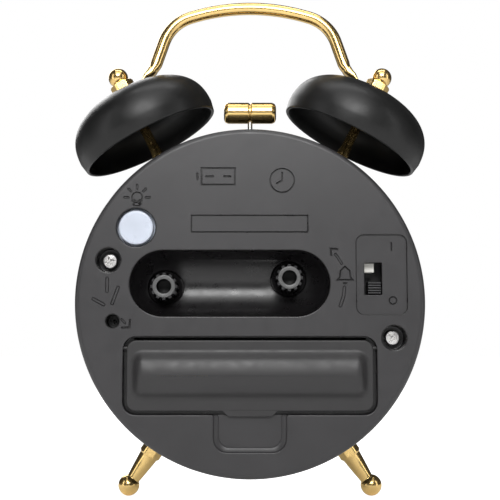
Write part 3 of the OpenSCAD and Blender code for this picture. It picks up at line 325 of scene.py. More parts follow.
class Finish:
    """Node tree of one material: Principled shader, Object coordinates, and patterns added one by one."""

    def __init__(self, name, color, roughness, metallic=0.0):
        self.material = bpy.data.materials.new(name)
        self.material.use_nodes = True
        self.tree = self.material.node_tree
        self.shader = self.tree.nodes["Principled BSDF"]
        self.color = color
        values = {"Base Color": (*color, 1), "Roughness": roughness, "Metallic": metallic}
        for socket, value in values.items():
            self.shader.inputs[socket].default_value = value
        self.material.diffuse_color = (*color, 1)
        self.normal = None
        self.place = self.node("ShaderNodeTexCoord").outputs["Object"]

    def node(self, kind, **values):
        """Adds a node; a value that is a socket is linked, any other is set."""
        made = self.tree.nodes.new(kind)
        for key, value in values.items():
            socket = made.inputs.get(key.replace("_", " ")) if hasattr(made, "inputs") else None
            if isinstance(value, bpy.types.NodeSocket):
                self.tree.links.new(value, socket)
            elif socket is not None:
                socket.default_value = value
            else:
                setattr(made, key, value)
        return made

    def stretch(self, scale, at=(0, 0, 0)):
        """Coordinates moved so that at is their middle, and stretched."""
        made = self.node("ShaderNodeMapping", Vector=self.place, Scale=scale, vector_type="TEXTURE")
        made.inputs["Location"].default_value = at
        return made.outputs["Vector"]

    def noise(self, scale, detail, place=None):
        """Value of a noise pattern of so many swells per metre."""
        made = self.node("ShaderNodeTexNoise", Vector=place or self.place, Scale=scale, Detail=detail)
        return made.outputs["Fac"]

    def ranged(self, value, low, high, start=0.3, stop=0.7):
        """A pattern's value from start to stop becomes low to high."""
        made = self.node("ShaderNodeMapRange", Value=value)
        for socket, number in zip(("From Min", "From Max", "To Min", "To Max"), (start, stop, low, high)):
            made.inputs[socket].default_value = number
        return made.outputs["Result"]

    def shaded(self, value, dark, light):
        """Colour between dark and light times the base colour, by a pattern's value."""
        made = self.node("ShaderNodeMix", data_type="RGBA")
        self.tree.links.new(value, made.inputs[0])
        made.inputs[6].default_value = (*[c * dark for c in self.color], 1)
        made.inputs[7].default_value = (*[min(1, c * light) for c in self.color], 1)
        self.tree.links.new(made.outputs[2], self.shader.inputs["Base Color"])
        return self

    def rough(self, value, low, high):
        """Roughness from low to high by a pattern's value."""
        self.tree.links.new(self.ranged(value, low, high), self.shader.inputs["Roughness"])
        return self

    def bump(self, value, height, strength=1.0):
        """Raises the surface by a pattern; a second call adds to the first."""
        made = self.node("ShaderNodeBump", Height=value, Distance=height, Strength=strength)
        if self.normal:
            self.tree.links.new(self.normal, made.inputs["Normal"])
        self.normal = made.outputs["Normal"]
        self.tree.links.new(self.normal, self.shader.inputs["Normal"])
        return self


def moulded(name, color, roughness, grain=0.1 * MM, height=0.012 * MM, cloud=0.1):
    """Moulded plastic with a fine eroded grain and a faint cloudiness."""
    made = Finish(name, color, roughness)
    made.shaded(made.ranged(made.noise(90, 4), 0, 1), 1 - cloud, 1 + cloud)
    made.rough(made.noise(350, 5), roughness - 0.05, roughness + 0.06)
    return made.bump(made.noise(1 / grain, 2), height).material


def lacquered(name, color, roughness):
    """Sprayed satin lacquer: a soft orange peel and small dust specks under a thin coat."""
    made = Finish(name, color, roughness)
    made.shader.inputs["Specular IOR Level"].default_value = 0.36
    made.shader.inputs["Coat Weight"].default_value = 0.03
    made.shader.inputs["Coat Roughness"].default_value = 0.22
    made.shaded(made.ranged(made.noise(140, 5), 0, 1), 0.85, 1.2)
    made.rough(made.noise(260, 4), roughness - 0.04, roughness + 0.05)
    made.bump(made.noise(1100, 2), 0.006 * MM)
    return made.bump(made.noise(5200, 3), 0.003 * MM).material


def polished(name, color, roughness, tarnish=0.88, lines=(900, 900, 60)):
    """Polished metal with hairlines along one direction and a slight tarnish."""
    made = Finish(name, color, roughness, 1.0)
    made.shaded(made.ranged(made.noise(160, 5), 0, 1), tarnish, 1.04)
    hairlines = made.noise(18, 3, made.stretch([1 / k for k in lines]))
    made.rough(hairlines, roughness * 0.75, roughness * 1.5)
    return made.bump(hairlines, 0.0006 * MM).material


def ring_turned(name, color, roughness, at, pitch=0.24 * MM):
    """Plastic with fine turning rings about an axis along Y through at."""
    made = Finish(name, color, roughness)
    rings = made.node("ShaderNodeTexWave", Vector=made.stretch((1, 1, 1), at), Scale=math.pi / 10 / pitch,
                      wave_type="RINGS", rings_direction="Y", Distortion=0.4, Detail=2.0).outputs["Fac"]
    # The colour follows the rings' height: darker in their grooves, which is painted shade, and lighter on
    # their ridges, which is painted highlight.
    made.shaded(rings, 0.7, 1.3)
    made.rough(made.noise(700, 3), roughness - 0.05, roughness + 0.08)
    return made.bump(rings, 0.015 * MM, 0.6).material


def wound(name, color, pitch=0.16 * MM):
    """Enamelled wire wound side by side along X."""
    made = Finish(name, color, 0.3, 0.8)
    turns = made.node("ShaderNodeTexWave", Vector=made.place, Scale=math.pi / 10 / pitch, Distortion=0.3,
                      Detail=1.0, bands_direction="X").outputs["Fac"]
    # The colour follows the turns' height: darker between the turns, which is painted shade, and lighter on
    # their tops, which is painted highlight.
    made.shaded(turns, 0.6, 1.15)
    return made.bump(turns, 0.03 * MM).material


def banded(name, color, band, at):
    """Printed wrap: two colours that meet at a place along X, with a faint sheen of print grain."""
    made = Finish(name, color, 0.28)
    axis = made.node("ShaderNodeSeparateXYZ", Vector=made.place).outputs["X"]
    mixed = made.node("ShaderNodeMix", data_type="RGBA")
    made.tree.links.new(made.ranged(axis, 0, 1, at - 0.05 * MM, at + 0.05 * MM), mixed.inputs[0])
    mixed.inputs[6].default_value, mixed.inputs[7].default_value = (*color, 1), (*band, 1)
    made.tree.links.new(mixed.outputs[2], made.shader.inputs["Base Color"])
    return made.bump(made.noise(2500, 2), 0.004 * MM).material


def clear(name):
    """Clear moulded lens, with the faintest ripple."""
    made = Finish(name, (0.97, 0.985, 0.98), 0.03)
    made.shader.inputs["Transmission Weight"].default_value = 1.0
    made.shader.inputs["IOR"].default_value = 1.46
    made.rough(made.noise(220, 4), 0.0, 0.02)
    return made.bump(made.noise(60, 2), 0.0006 * MM).material


FINISHES = {}


def make_finishes(tones):
    """One material for each material slot of the record, and a few more for pieces with two finishes."""
    slots = {m["slot"] for m in frame["record"]["materials"]}
    FINISHES.update(
        black_enamel=lacquered("black_enamel", tones.enamel, 0.42),
        cover_plastic=moulded("cover_plastic", tones.cover, 0.42),
        # Darker than the cover's colour: painted shade in the recesses, wells and engraved marks. Its lower
        # roughness is their real gloss.
        cover_gloss=moulded("cover_gloss", tones.recess, 0.3, 0.4 * MM, 0.0015 * MM),
        door_plastic=moulded("door_plastic", tones.door, 0.46, 0.16 * MM, 0.008 * MM),
        brass=polished("brass", tones.brass, 0.19),
        steel=polished("steel", (0.72, 0.71, 0.7), 0.3),
        spring_steel=polished("spring_steel", (0.66, 0.66, 0.63), 0.28, 0.8),
        lens_glass=clear("lens_glass"),
        dial_white=moulded("dial_white", tones.dial, 0.6, 0.3 * MM, 0.003 * MM, 0.015),
        button_white=moulded("button_white", tones.button, 0.3, 0.6 * MM, 0.003 * MM),
        black_plastic=moulded("black_plastic", (0.012, 0.012, 0.013), 0.35, 0.3 * MM, 0.004 * MM),
        pale_plastic=moulded("pale_plastic", (0.74, 0.73, 0.68), 0.45, 0.3 * MM, 0.005 * MM),
        natural_nylon=moulded("natural_nylon", (0.8, 0.78, 0.7), 0.42, 0.25 * MM, 0.006 * MM),
        copper=wound("copper", (0.72, 0.27, 0.1)),
        iron=polished("iron", (0.4, 0.4, 0.41), 0.42, 0.7, (300, 300, 300)),
        board=moulded("board", (0.02, 0.15, 0.05), 0.28, 0.5 * MM, 0.006 * MM),
        cell_wrap=banded("cell_wrap", (0.03, 0.09, 0.25), (0.75, 0.5, 0.16), 11 * MM),
        hand_black=lacquered("hand_black", (0.012, 0.012, 0.012), 0.32),
        print_black=lacquered("print_black", (0.01, 0.01, 0.01), 0.5),
        # Near-black finish for the insides of the pinhole and the knob bores: painted shade, far darker than
        # the plastic round them.
        inside_black=lacquered("inside_black", (0.004, 0.004, 0.004), 0.6),
        time_ring=ring_turned("time_ring", (0.085, 0.085, 0.085), 0.34, middle("time_knob")),
        alarm_ring=ring_turned("alarm_ring", (0.085, 0.085, 0.085), 0.34, middle("alarm_knob")),
    )
    missing = sorted(slots - set(FINISHES))
    if missing:
        raise RuntimeError(f"the record has material slots with no finish: {missing}")


# ---- the back cover --------------------------------------------------------

# engraved marks: points of the line and its width, in millimetres from the case centre
MARKS = {
    "lamp_base": ([(29, 26.1), (29, 25.2), (30.6, 25.2), (30.6, 26.1)], 0.35),
    "lamp_ray_0": ([(32.1, 27.4), (33.1, 27.4)], 0.7),
    "lamp_ray_1": ([(31.43, 29.03), (32.1, 29.7)], 0.7),
    "lamp_ray_2": ([(29.8, 29.7), (29.8, 30.7)], 0.7),
    "lamp_ray_3": ([(28.17, 29.03), (27.5, 29.7)], 0.7),
    "lamp_ray_4": ([(27.5, 27.4), (26.5, 27.4)], 0.7),
    "set_dash_0": ([(41, 0.6), (38.2, -0.9)], 0.95),
    "set_dash_1": ([(34.5, 3.6), (36, -0.6)], 0.95),
    "set_shaft": ([(33.5, -4.75), (32.6, -5.7)], 0.7),
    "set_head": ([(31.3, -4.9), (31.4, -6.8), (33.3, -6.9)], 0.6),
    "set_bar": ([(37.4, 6), (37.4, 2.6)], 0.95),
    "alarm_shaft": ([(-24, 9.9), (-22.9, 11.7), (-22.4, 12.3)], 0.8),
    "alarm_head": ([(-22.9, 13.7), (-21.2, 13.8), (-21.3, 12.1)], 0.6),
    "alarm_bell": ([(-26.9, 5.6), (-26.3, 6.3), (-26.1, 8), (-24.9, 9.1), (-23.7, 8), (-23.5, 6.3),
                    (-22.9, 5.6)], 0.45),
    "alarm_clapper": ([(-25.3, 4.7), (-24.5, 4.7)], 0.5),
    "alarm_dash": ([(-24.7, 3.6), (-24.5, 1.4), (-23.6, -1.2)], 0.95),
    "plain_frame": ([(-15.2, 18.2), (15.4, 18.2), (15.4, 22.6), (-15.2, 22.6)], 0.4),
    "cell_body": ([(4, 30.8), (12.8, 30.8), (12.8, 35.2), (4, 35.2)], 0.5),
    "cell_button": ([(13.9, 32.2), (13.9, 33.8)], 0.6),
    "cell_minus": ([(5.2, 33), (6.8, 33)], 0.6),
    "cell_plus": ([(9.8, 33), (11.6, 33)], 0.6),
    "face_hands": ([(-8.5, 34), (-8.5, 31.9), (-7.1, 31.1)], 0.5),
}
MARK_LOOPS = {"alarm_bell", "plain_frame", "cell_body"}
MARK_RINGS = {"lamp_bulb": (1.15, 1.55, 29.8, 27.4), "face_ring": (2.95, 3.4, -8.5, 31.9)}


def ring_groove(inner, outer, x, z):
    """Groove between two circles."""
    return [circle(outer, (x, z)) * MM, circle(inner, (x, z)) * MM]


class ClockCover(bpy.types.PropertyGroup):
    """Sizes of the back cover and of the battery door"""

    edge: length("Recess edge", "Radius of the rounded edge of every recess", 0.32)
    rim: length("Rim", "Radius of the cover's outer edge", 1.5)
    skin: length("Skin", "Thickness of the cover's wall", 0.7)
    mark_depth: length("Mark depth", "Depth of the engraved marks", 0.4)
    scoop_r: length("Scoop radius", "Radius of the hollow round the knobs", 8.65)
    well_r: length("Knob well radius", "Radius of the well round each knob", 4.7)
    well_depth: length("Knob well depth", "Depth of the knob wells", 9)
    door_depth: length("Door recess depth", "Depth of the battery door's recess", 2.2)
    hump: length("Door hump", "How far the door's hump stands above its flange", 2.8)


SCOOP_LEFT, SCOOP_RIGHT, SCOOP_Z = -12.25 * MM, 22.85 * MM, 4.7 * MM
# rounded top of a knob well: millimetres out of its radius and below the scoop's surface
WELL_EDGE = [(0.3, 0), (0.16, 0.04), (0.05, 0.14), (0, 0.34)]
KNOBS = {"time_knob": (22.7 * MM, 4.0 * MM), "alarm_knob": (-10.4 * MM, 6.3 * MM)}
BUTTON_AT, BUTTON_HOLE = (30 * MM, 19.4 * MM), 5.1 * MM
PINHOLE_AT, PINHOLE_R = (35.9 * MM, -5.2 * MM), 1.7 * MM
SCREWS_AT, SCREW_WELL_R, SCREW_DEPTH = [(37.2 * MM, 10.8 * MM), (-37.6 * MM, -9.5 * MM)], 3.2 * MM, 5 * MM
PANEL_AT, PANEL_SIZE, PANEL_DEPTH = (-34.5 * MM, 7 * MM), (13.1 * MM, 20.9 * MM), 0.4 * MM
SLOT_AT, SLOT_SIZE = (-32.3 * MM, 5.9 * MM), (4.6 * MM, 8.5 * MM)
DOOR_AT, DOOR_RECESS = (0.0, -19.3 * MM), (66.1 * MM, 20.2 * MM)
NOTCH_W, NOTCH_END = 18.9 * MM, -39 * MM
BAY = (61 * MM, -27.5 * MM, -9.45 * MM, 13.75 * MM)


def scoop_corners(radius):
    """Corners of the box round the scoop."""
    length_between, centre = SCOOP_RIGHT - SCOOP_LEFT, ((SCOOP_LEFT + SCOOP_RIGHT) / 2, SCOOP_Z)
    return box_corners(length_between + 2 * radius, 2 * radius, centre)


def scoop_depth(points, radius):
    """Depth of the scoop: a ball of the scoop's radius carried along a level line sinks its surface."""
    along = np.clip(points[..., 0], SCOOP_LEFT, SCOOP_RIGHT)
    away = np.hypot(points[..., 0] - along, points[..., 1] - SCOOP_Z)
    return np.sqrt(np.maximum(radius**2 - away**2, 0))


def scoop_parts(cover):
    """Scoop and its two knob wells.

    Rings of the scoop's outline shrink towards its middle line, each at the scoop's depth there. Below the
    rings the hollow is triangulated round the wells, whose walls follow its surface at their tops.
    """
    radius, edge = cover.scoop_r, cover.edge
    corners = scoop_corners(radius)
    away = radius * np.cos(np.radians([8, 12, 17, 22, 27, 32, 36, 40]))
    profile = [[edge, 0], [edge * 0.6, edge * 0.1], [edge * 0.25, edge * 0.4], [0.04 * edge, edge]]
    profile += [[a - radius, math.sqrt(radius**2 - a * a)] for a in away]
    # The scoop and its wells take finish 1, whose darker colour is painted shade in the hollow.
    parts = [recess(corners, radius, profile, finish=1, steps=16)]
    shrink = np.array([5.9, 5.1, 4.2, 3.2, 2.1, 1.0, 0.05]) * MM - radius
    inner = outline(corners, radius, away[-1] - radius, 16)[0]
    spare = np.concatenate(list(outline(corners, radius, shrink, 16)))
    line = np.stack([np.linspace(SCOOP_LEFT, SCOOP_RIGHT, 36), np.full(36, SCOOP_Z)], 1)
    spare = np.concatenate([spare, *[line + (0, dz * MM) for dz in (-5.9, -4.2, -2.1, 0, 2.1, 4.2, 5.9)]])
    wells = []
    for at in KNOBS.values():
        wells.append(circle(cover.well_r / MM + WELL_EDGE[0][0], np.array(at) / MM, 96) * MM)
        spare = spare[np.hypot(*(spare - at).T) > cover.well_r + 0.45 * MM]
    points, triangles, centre = triangulated([inner, *wells], spare)
    kept = inside(centre, inner) & ~inside(centre, wells[0]) & ~inside(centre, wells[1])
    parts.append((on_cover(points, scoop_depth(points, radius)), triangles[kept], True, 1))
    for at, well in zip(KNOBS.values(), wells):
        top = scoop_depth(well, radius)
        direction = (well - at) / (cover.well_r + WELL_EDGE[0][0] * MM)
        rings = [at + direction * (cover.well_r + g * MM) for g, _ in WELL_EDGE]
        depth = [top + sink * MM for _, sink in WELL_EDGE]
        for shrink, rise in ((0, 0.25), (-0.25, 0), (-3.4, 0)):
            rings.append(at + direction * (cover.well_r + shrink * MM))
            depth.append(np.full(len(well), cover.well_depth - rise * MM))
        rings, depth = np.array(rings), np.minimum(depth, cover.well_depth)
        parts.append(sheet(on_cover(rings, depth), finish=1))
    return parts


class CLOCK_OT_cover(bpy.types.Operator):
    """Back cover: one skin with its rim, scoop, wells, recesses and engraved marks"""

    bl_idname = "clock.cover"
    bl_label = "Back cover"

    def execute(self, context):
        cover = context.scene.clock_cover
        edge = cover.edge
        top = CASE_R - cover.rim
        angle = np.linspace(0, np.pi / 2, 8)
        rim = np.stack([top + cover.rim * np.sin(angle), cover.rim * (np.cos(angle) - 1)], 1)
        skirt = np.array([[0, -2.95], [-1.6, -2.95], [-1.6, -7.9], [-2.8, -7.9]]) * MM + (CASE_R, 0)
        rim = np.concatenate([rim, skirt])
        parts = [turned(rim, 256, along_y(0, 0, BACK_Y))]
        face = circle(top / MM, count=256) * MM
        scoop = outline(scoop_corners(cover.scoop_r), cover.scoop_r, edge, 16)[0]
        parts += scoop_parts(cover)

        def round_hole(at, radius, depth, floor, inner=1):
            """Hole with a rounded edge; with floor its wall turns in to a closed foot."""
            # The wall takes the finish numbered inner. The darker colours of finishes 1 and 2 are painted
            # shade in the hole.
            profile = edge_profile(edge, depth, 0.25 * MM if floor else 0)
            profile = np.concatenate([profile, [[-radius, depth]]]) if floor else profile[:-1]
            corners = box_corners(2 * radius, 2 * radius, at)
            parts.append(recess(corners, radius, profile, inner, 12))
            return outline(corners, radius, edge, 12)[0]

        holes = [scoop, round_hole(BUTTON_AT, BUTTON_HOLE, 2.2 * MM, False),
                 round_hole(PINHOLE_AT, PINHOLE_R, 4 * MM, True, 2)]
        holes += [round_hole(at, SCREW_WELL_R, SCREW_DEPTH, True) for at in SCREWS_AT]

        panel, panel_r, small, slot_r = box_corners(*PANEL_SIZE, PANEL_AT), 2 * MM, 0.12 * MM, 0.3 * MM
        # The panel's and the slot's walls take the darker finish 1: painted shade in the recesses.
        parts.append(recess(panel, panel_r, edge_profile(2 * small, PANEL_DEPTH)[:-1], finish=1))
        holes.append(outline(panel, panel_r, 2 * small)[0])
        slot = box_corners(*SLOT_SIZE, SLOT_AT)
        parts.append(recess(slot, slot_r, edge_profile(small, 1.9 * MM)[:-1] + [0, PANEL_DEPTH], 1))
        switch_marks = [groove([(-37.2, 13.4), (-37.2, 15.4)], 0.45), ring_groove(0.75, 1.15, -37.4, 0.2)]
        parts += flat_face(outline(panel, panel_r)[0], [outline(slot, slot_r, small)[0]], switch_marks,
                           PANEL_DEPTH, cover.mark_depth)

        hole, door_parts = self.door_recess(cover)
        parts += door_parts
        holes.append(hole)
        marks = [groove(line, width, name in MARK_LOOPS) + (groove(line, width - 0.5) if width > 0.65 else [])
                 for name, (line, width) in MARKS.items()]
        marks += [ring_groove(*ring) for ring in MARK_RINGS.values()]
        parts += flat_face(face, holes, marks, 0.0, cover.mark_depth)
        piece = add_piece("cover_shell", parts, ["cover_plastic", "cover_gloss", "inside_black"], "case",
                          "back_cover", facing=(0, 1, 0))
        wall = piece.modifiers.new("wall", "SOLIDIFY")
        wall.thickness, wall.offset, wall.use_rim = cover.skin, -1, True
        return {"FINISHED"}

    def door_recess(self, cover):
        """Battery door's recess, the bay in its floor, and the stepped finger notch that opens into it."""
        edge, depth = cover.edge, cover.door_depth
        w, low, high = DOOR_RECESS[0] / 2, DOOR_AT[1] - DOOR_RECESS[1] / 2, DOOR_AT[1] + DOOR_RECESS[1] / 2
        n = NOTCH_W / 2
        corners = [[-w, high], [-w, low], [-n, low], [-n, NOTCH_END], [n, NOTCH_END], [n, low], [w, low],
                   [w, high]]
        radii = np.array([3.4, 3.4, 0.6, 3.6, 3.6, 0.6, 3.4, 3.4]) * MM
        top = edge_profile(edge, depth)[:-1]
        steps = 8
        count = steps + 1
        rings = outline(corners, radii, top[:, 0], steps)
        parts = [sheet(on_cover(rings[:-1], top[:-1, 1][:, None]))]
        lip = rings[-2]
        door_wall = np.concatenate([lip[6 * count - steps // 2 - 1:], lip[:3 * count - steps // 2]])
        wall_depth = np.array([[top[-2, 1]], [depth]])
        # The recess's walls, sill, floor and bay take the darker finish 1: painted shade in the recess.
        parts.append(sheet(on_cover(np.stack([door_wall, door_wall]), wall_depth), False, True, 1))
        notch = lip[3 * count - steps // 2 - 1:6 * count - steps // 2]
        inward = 1 - np.array([0.13, 1.05, 1.2, 1.3]) / 9.45
        levels = np.array([0.75, 0.85, 0.98, 1.3]) * MM
        slide = np.array([0.12, 1.0, 1.15, 1.25]) * MM
        share = np.clip((low - notch[:, 1]) / (low - NOTCH_END), 0, 1)
        rows, heights = [notch], [np.full(len(notch), top[-2, 1])]
        for shrink, level, lift in zip(inward, levels, slide):
            rows.append(np.stack([notch[:, 0] * shrink, notch[:, 1] + lift * share], 1))
            heights.append(np.full(len(notch), level))
        parts.append(sheet(on_cover(np.array(rows), np.array(heights)), False))
        floor = np.array([rows[-1], np.stack([rows[-1][:, 0], np.full(len(notch), low)], 1)])
        parts.append(sheet(on_cover(floor, levels[-1]), False, False))
        sill = np.array([row[[0, -1]] for row in rows])
        sill[..., 1] = low
        sill_top = np.concatenate([sill[:, 0], sill[::-1, 1]])
        sill_depth = np.concatenate([[h[0] for h in heights], [h[0] for h in heights[::-1]]])
        strip = np.stack([on_cover(sill_top, sill_depth), on_cover(sill_top, depth)])
        parts.append(sheet(strip, False, False, 1))
        bay_w, bay_low, bay_high, bay_depth = BAY
        bay = box_corners(bay_w, bay_high - bay_low, (0, (bay_low + bay_high) / 2))
        outer = outline(corners[:2] + corners[-2:], 3.4 * MM)[0]
        bay_edge = outline(bay, 0.3 * MM)[0]
        parts += flat_face(outer, [bay_edge], depth=depth, finish=1)
        parts.append(recess(bay, 0.3 * MM, [[0, depth], [0, bay_depth]], 1))
        parts += flat_face(bay_edge, depth=bay_depth, finish=1)
        return outline(corners, radii, edge, steps)[0], parts


# ---- the battery door ------------------------------------------------------


def dense(rings, steps, extra):
    """Rings of a four-cornered outline with extra points spread along each side."""
    corner = rings.reshape(len(rings), 4, steps + 1, 2)
    last, following = corner[:, :, -1:], np.roll(corner, -1, 1)[:, :, :1]
    share = np.linspace(0, 1, extra + 2)[None, None, 1:-1, None]
    return np.concatenate([corner, last * (1 - share) + following * share], 2).reshape(len(rings), -1, 2)


def prism(loop, low, high, place, edge):
    """Solid between two ends of a loop, with its ends' edges bevelled."""
    centre = loop.mean(0)
    reach = np.abs(loop - centre).max()
    inner = 1 - edge / reach
    rows = [(1e-6, low), (inner, low), (1, low + edge), (1, high - edge), (inner, high), (1e-6, high)]
    grid = [np.concatenate([centre + (loop - centre) * k, np.full((len(loop), 1), h)], 1) for k, h in rows]
    return sheet(placed(np.array(grid), place), smooth=False)


HUMP, FLANGE = (62.2 * MM, 14 * MM), (64.2 * MM, 18.3 * MM)
HUMP_FALL = 3.0 * MM
FLANGE_FOOT = 2.05 * MM


def hump_height(points, inward, rise):
    """Hump's height above the flange.

    Across the door it is an arc that rises from the long edges to the middle. Over the last HUMP_FALL
    towards the outline it falls away smoothly, level at both ends of the fall.
    """
    radius = (HUMP[1] ** 2 / 4 + rise**2) / (2 * rise)
    z = np.clip(points[..., 1] - DOOR_AT[1], -HUMP[1] / 2, HUMP[1] / 2)
    arch = np.sqrt(radius**2 - z**2) - (radius - rise)
    near = np.clip(inward / HUMP_FALL, 0, 1)
    return arch * near * near * (3 - 2 * near)


class CLOCK_OT_door(bpy.types.Operator):
    """Battery door: flange, arched hump, hollow underside, finger tab and hinge pins"""

    bl_idname = "clock.door"
    bl_label = "Battery door"

    def execute(self, context):
        rise = context.scene.clock_cover.hump
        steps, extra = 8, 14
        flange, flange_r = box_corners(*FLANGE, DOOR_AT), 2.45 * MM
        hump, hump_r = box_corners(*HUMP, DOOR_AT), 3.4 * MM
        side = rounded([[-0.7, 0.3], [0, 0.3], [0, 2.05], [-1.2, 2.05]], [0.3, 0.15], 4) * MM
        inward = np.array([0, 0.15, 0.3, 0.5, 0.75, 1.0, 1.25, 1.5, 1.75, 2.0, 2.3, 2.6, 3, 3.8, 4.8, 5.8,
                           6.6, 6.98]) * MM
        over = dense(outline(hump, hump_r, -inward, steps), steps, extra)
        over_depth = DOOR_TOP - hump_height(over, inward[:, None], rise)
        frame_rings = dense(outline(flange, flange_r, side[:, 0], steps), steps, extra)
        frame_depth = np.broadcast_to(side[:, 1][:, None], frame_rings.shape[:2])
        under_in = np.array([1.5, 1.5, 2.0, 2.7, 3.4, 4.4, 5.6, 6.98]) * MM
        under = dense(outline(hump, hump_r, -under_in, steps), steps, extra)
        thin = DOOR_TOP + 1.15 * MM - hump_height(under, under_in[:, None] - 1.1 * MM, rise)
        cell_low, cell_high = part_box("battery_cell")
        cell_r = (cell_high.z - cell_low.z) / 2
        off = np.clip(np.abs(under[..., 1] - DOOR_AT[1]), 0, cell_r)
        cell = BACK_Y - (cell_low.y + cell_high.y) / 2 - np.sqrt((cell_r + 0.12 * MM) ** 2 - off**2)
        over_cell = np.abs(under[..., 0]) < cell_high.x + 0.3 * MM
        hollow = np.minimum(thin, np.maximum(cell, DOOR_TOP + 0.35 * MM - rise))
        under_depth = np.where(over_cell, hollow, thin)
        under_depth[0] = FLANGE_FOOT
        rings = np.concatenate([over[::-1], frame_rings, under])
        depth = np.concatenate([over_depth[::-1], frame_depth, under_depth])
        parts = [sheet(on_cover(rings, depth))]
        tab = np.array([[-7.3, -28.3], [-5.75, -29.75], [5.75, -29.75], [7.3, -28.3]]) * MM
        swap = Matrix(((1, 0, 0, 0), (0, 0, 1, BACK_Y), (0, 1, 0, CASE_Z), (0, 0, 0, 1)))
        parts.append(prism(tab, -1.15 * MM, -DOOR_TOP, swap, 0.12 * MM))
        pin_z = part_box("battery_door")[1].z - CASE_Z - 2 * MM
        for sign in (-1, 1):
            pin = rounded([[0, -2], [0.5, -2], [0.5, 0.9 + 0.75], [0, 0.9 + 0.75]], 0.1, 2) * MM
            place = Matrix.Translation((sign * 32.1 * MM, 18.825 * MM, CASE_Z + pin_z))
            parts.append(turned(pin, 24, place @ Matrix.Rotation(sign * math.pi / 2, 4, "Y")))
        add_piece("door_shell", parts, ["door_plastic"], "door", "battery_door")
        return {"FINISHED"}


# ---- knobs, screws, button and switch --------------------------------------


# rows of a knob: radius without teeth, distance from the middle plane, both in millimetres, share of teeth
KNOB_FLOOR, KNOB_TOP = 11.3, 18.6
KNOB_ROWS = [(0, 13.7, 0), (1.9, 13.7, 0), (1.95, 13.75, 0), (1.95, 18.48, 0), (1.98, 18.56, 0),
             (2.06, 18.6, 0), (2.8, 18.6, 0), (2.92, 18.57, 0), (2.98, 18.49, 0), (3, 18.38, 0), (3, 18.3, 0),
             (3, 18.3, 0.8), (3, 18.26, 0.94), (3, 18.16, 1), (3, 11.5, 1), (2.95, 11.3, 0.9), (0, 11.3, 0)]
TOOTH = 0.55 * MM


class CLOCK_OT_controls(bpy.types.Operator):
    """Setting knobs with toothed rings, the press button and the ridged alarm switch"""

    bl_idname = "clock.controls"
    bl_label = "Knobs, button and switch"

    def execute(self, context):
        trim = context.scene.clock_trim
        for node, at in KNOBS.items():
            self.knob(node, at, trim)
        low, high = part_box("light_button")
        radius, top, dish = trim.button_r / MM, (high.y - low.y) / MM, 0.06
        disc = rounded([[0, 0], [5.8, 0], [5.8, 1.1], [radius, 1.1], [radius, top], [0, top - dish]],
                       [0.1, 0.15, 0.1, 0.5], 6)
        disc = np.concatenate([disc[:-1], [[radius * k, top - dish * (1 - k)] for k in (0.6, 0.3, 0)]])
        place = along_y(*BUTTON_AT, low.y)
        add_piece("button_cap", [turned(disc * MM, 96, place)], ["button_white"], "button", "light_button")
        self.slider()
        return {"FINISHED"}

    def knob(self, node, at, trim):
        """Hollow knob: its radius follows the teeth round the axis; its ring face stands clear of them."""
        low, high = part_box(node)
        teeth = trim.knob_teeth
        angle = np.linspace(0, 2 * np.pi, teeth * 20, endpoint=False)
        tooth = np.clip(np.cos(angle * teeth) * 2.6 + 0.55, 0, 1) * TOOTH
        scale = (high.y - KNOB_FLOOR * MM) / ((KNOB_TOP - KNOB_FLOOR) * MM)
        radius = np.array([r * MM + share * tooth for r, _, share in KNOB_ROWS])
        level = np.array([(y - KNOB_FLOOR) * MM * scale for _, y, _ in KNOB_ROWS])[:, None]
        points, faces, _, _ = ringed(radius, level, along_y(*at, low.y))
        row = faces[:, 0] // len(angle)
        bore, ring = row < 3, (row >= 3) & (row <= 9)
        # The bore takes the near-black finish: painted shade inside the knob's hole.
        parts = [(points, faces[ring], True, 1), (points, faces[bore], True, 2),
                 (points, faces[~ring & ~bore], False, 0)]
        turns = node.removesuffix("_knob")
        finishes = ["black_plastic", turns + "_ring", "inside_black"]
        add_piece(node + "_cap", parts, finishes, turns + "_setter", node)

    def slider(self):
        """Thumb slider: its top is a row of rounded ridges, drawn as one loop carried across the slot."""
        low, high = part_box("switch_slider")
        ridges = 5
        z = np.linspace(low.z + 0.05 * MM, high.z - 0.05 * MM, ridges * 12 + 1)
        share = (z - z[0]) / (z[-1] - z[0]) * ridges
        top = high.y - 0.42 * MM * (1 - np.abs(np.sin(np.pi * share)) ** 0.7)
        foot = low.y + 2.3 * MM
        loop = np.concatenate([[[z[0], foot]], np.stack([z, top], 1), [[z[-1], foot]]])
        place = Matrix(((0, 0, 1, 0), (0, 1, 0, 0), (1, 0, 0, 0), (0, 0, 0, 1)))
        head = low.y + 2.5 * MM
        body = np.array([[low.z, low.y], [high.z, low.y], [high.z, head], [low.z, head]])
        x = SLOT_AT[0] - 0.35 * MM
        parts = [prism(loop, x - 1.65 * MM, x + 1.65 * MM, place, 0.1 * MM),
                 prism(body, low.x, high.x, place, 0.05 * MM)]
        add_piece("switch_thumb", parts, ["black_plastic"], "slider", "switch_slider")


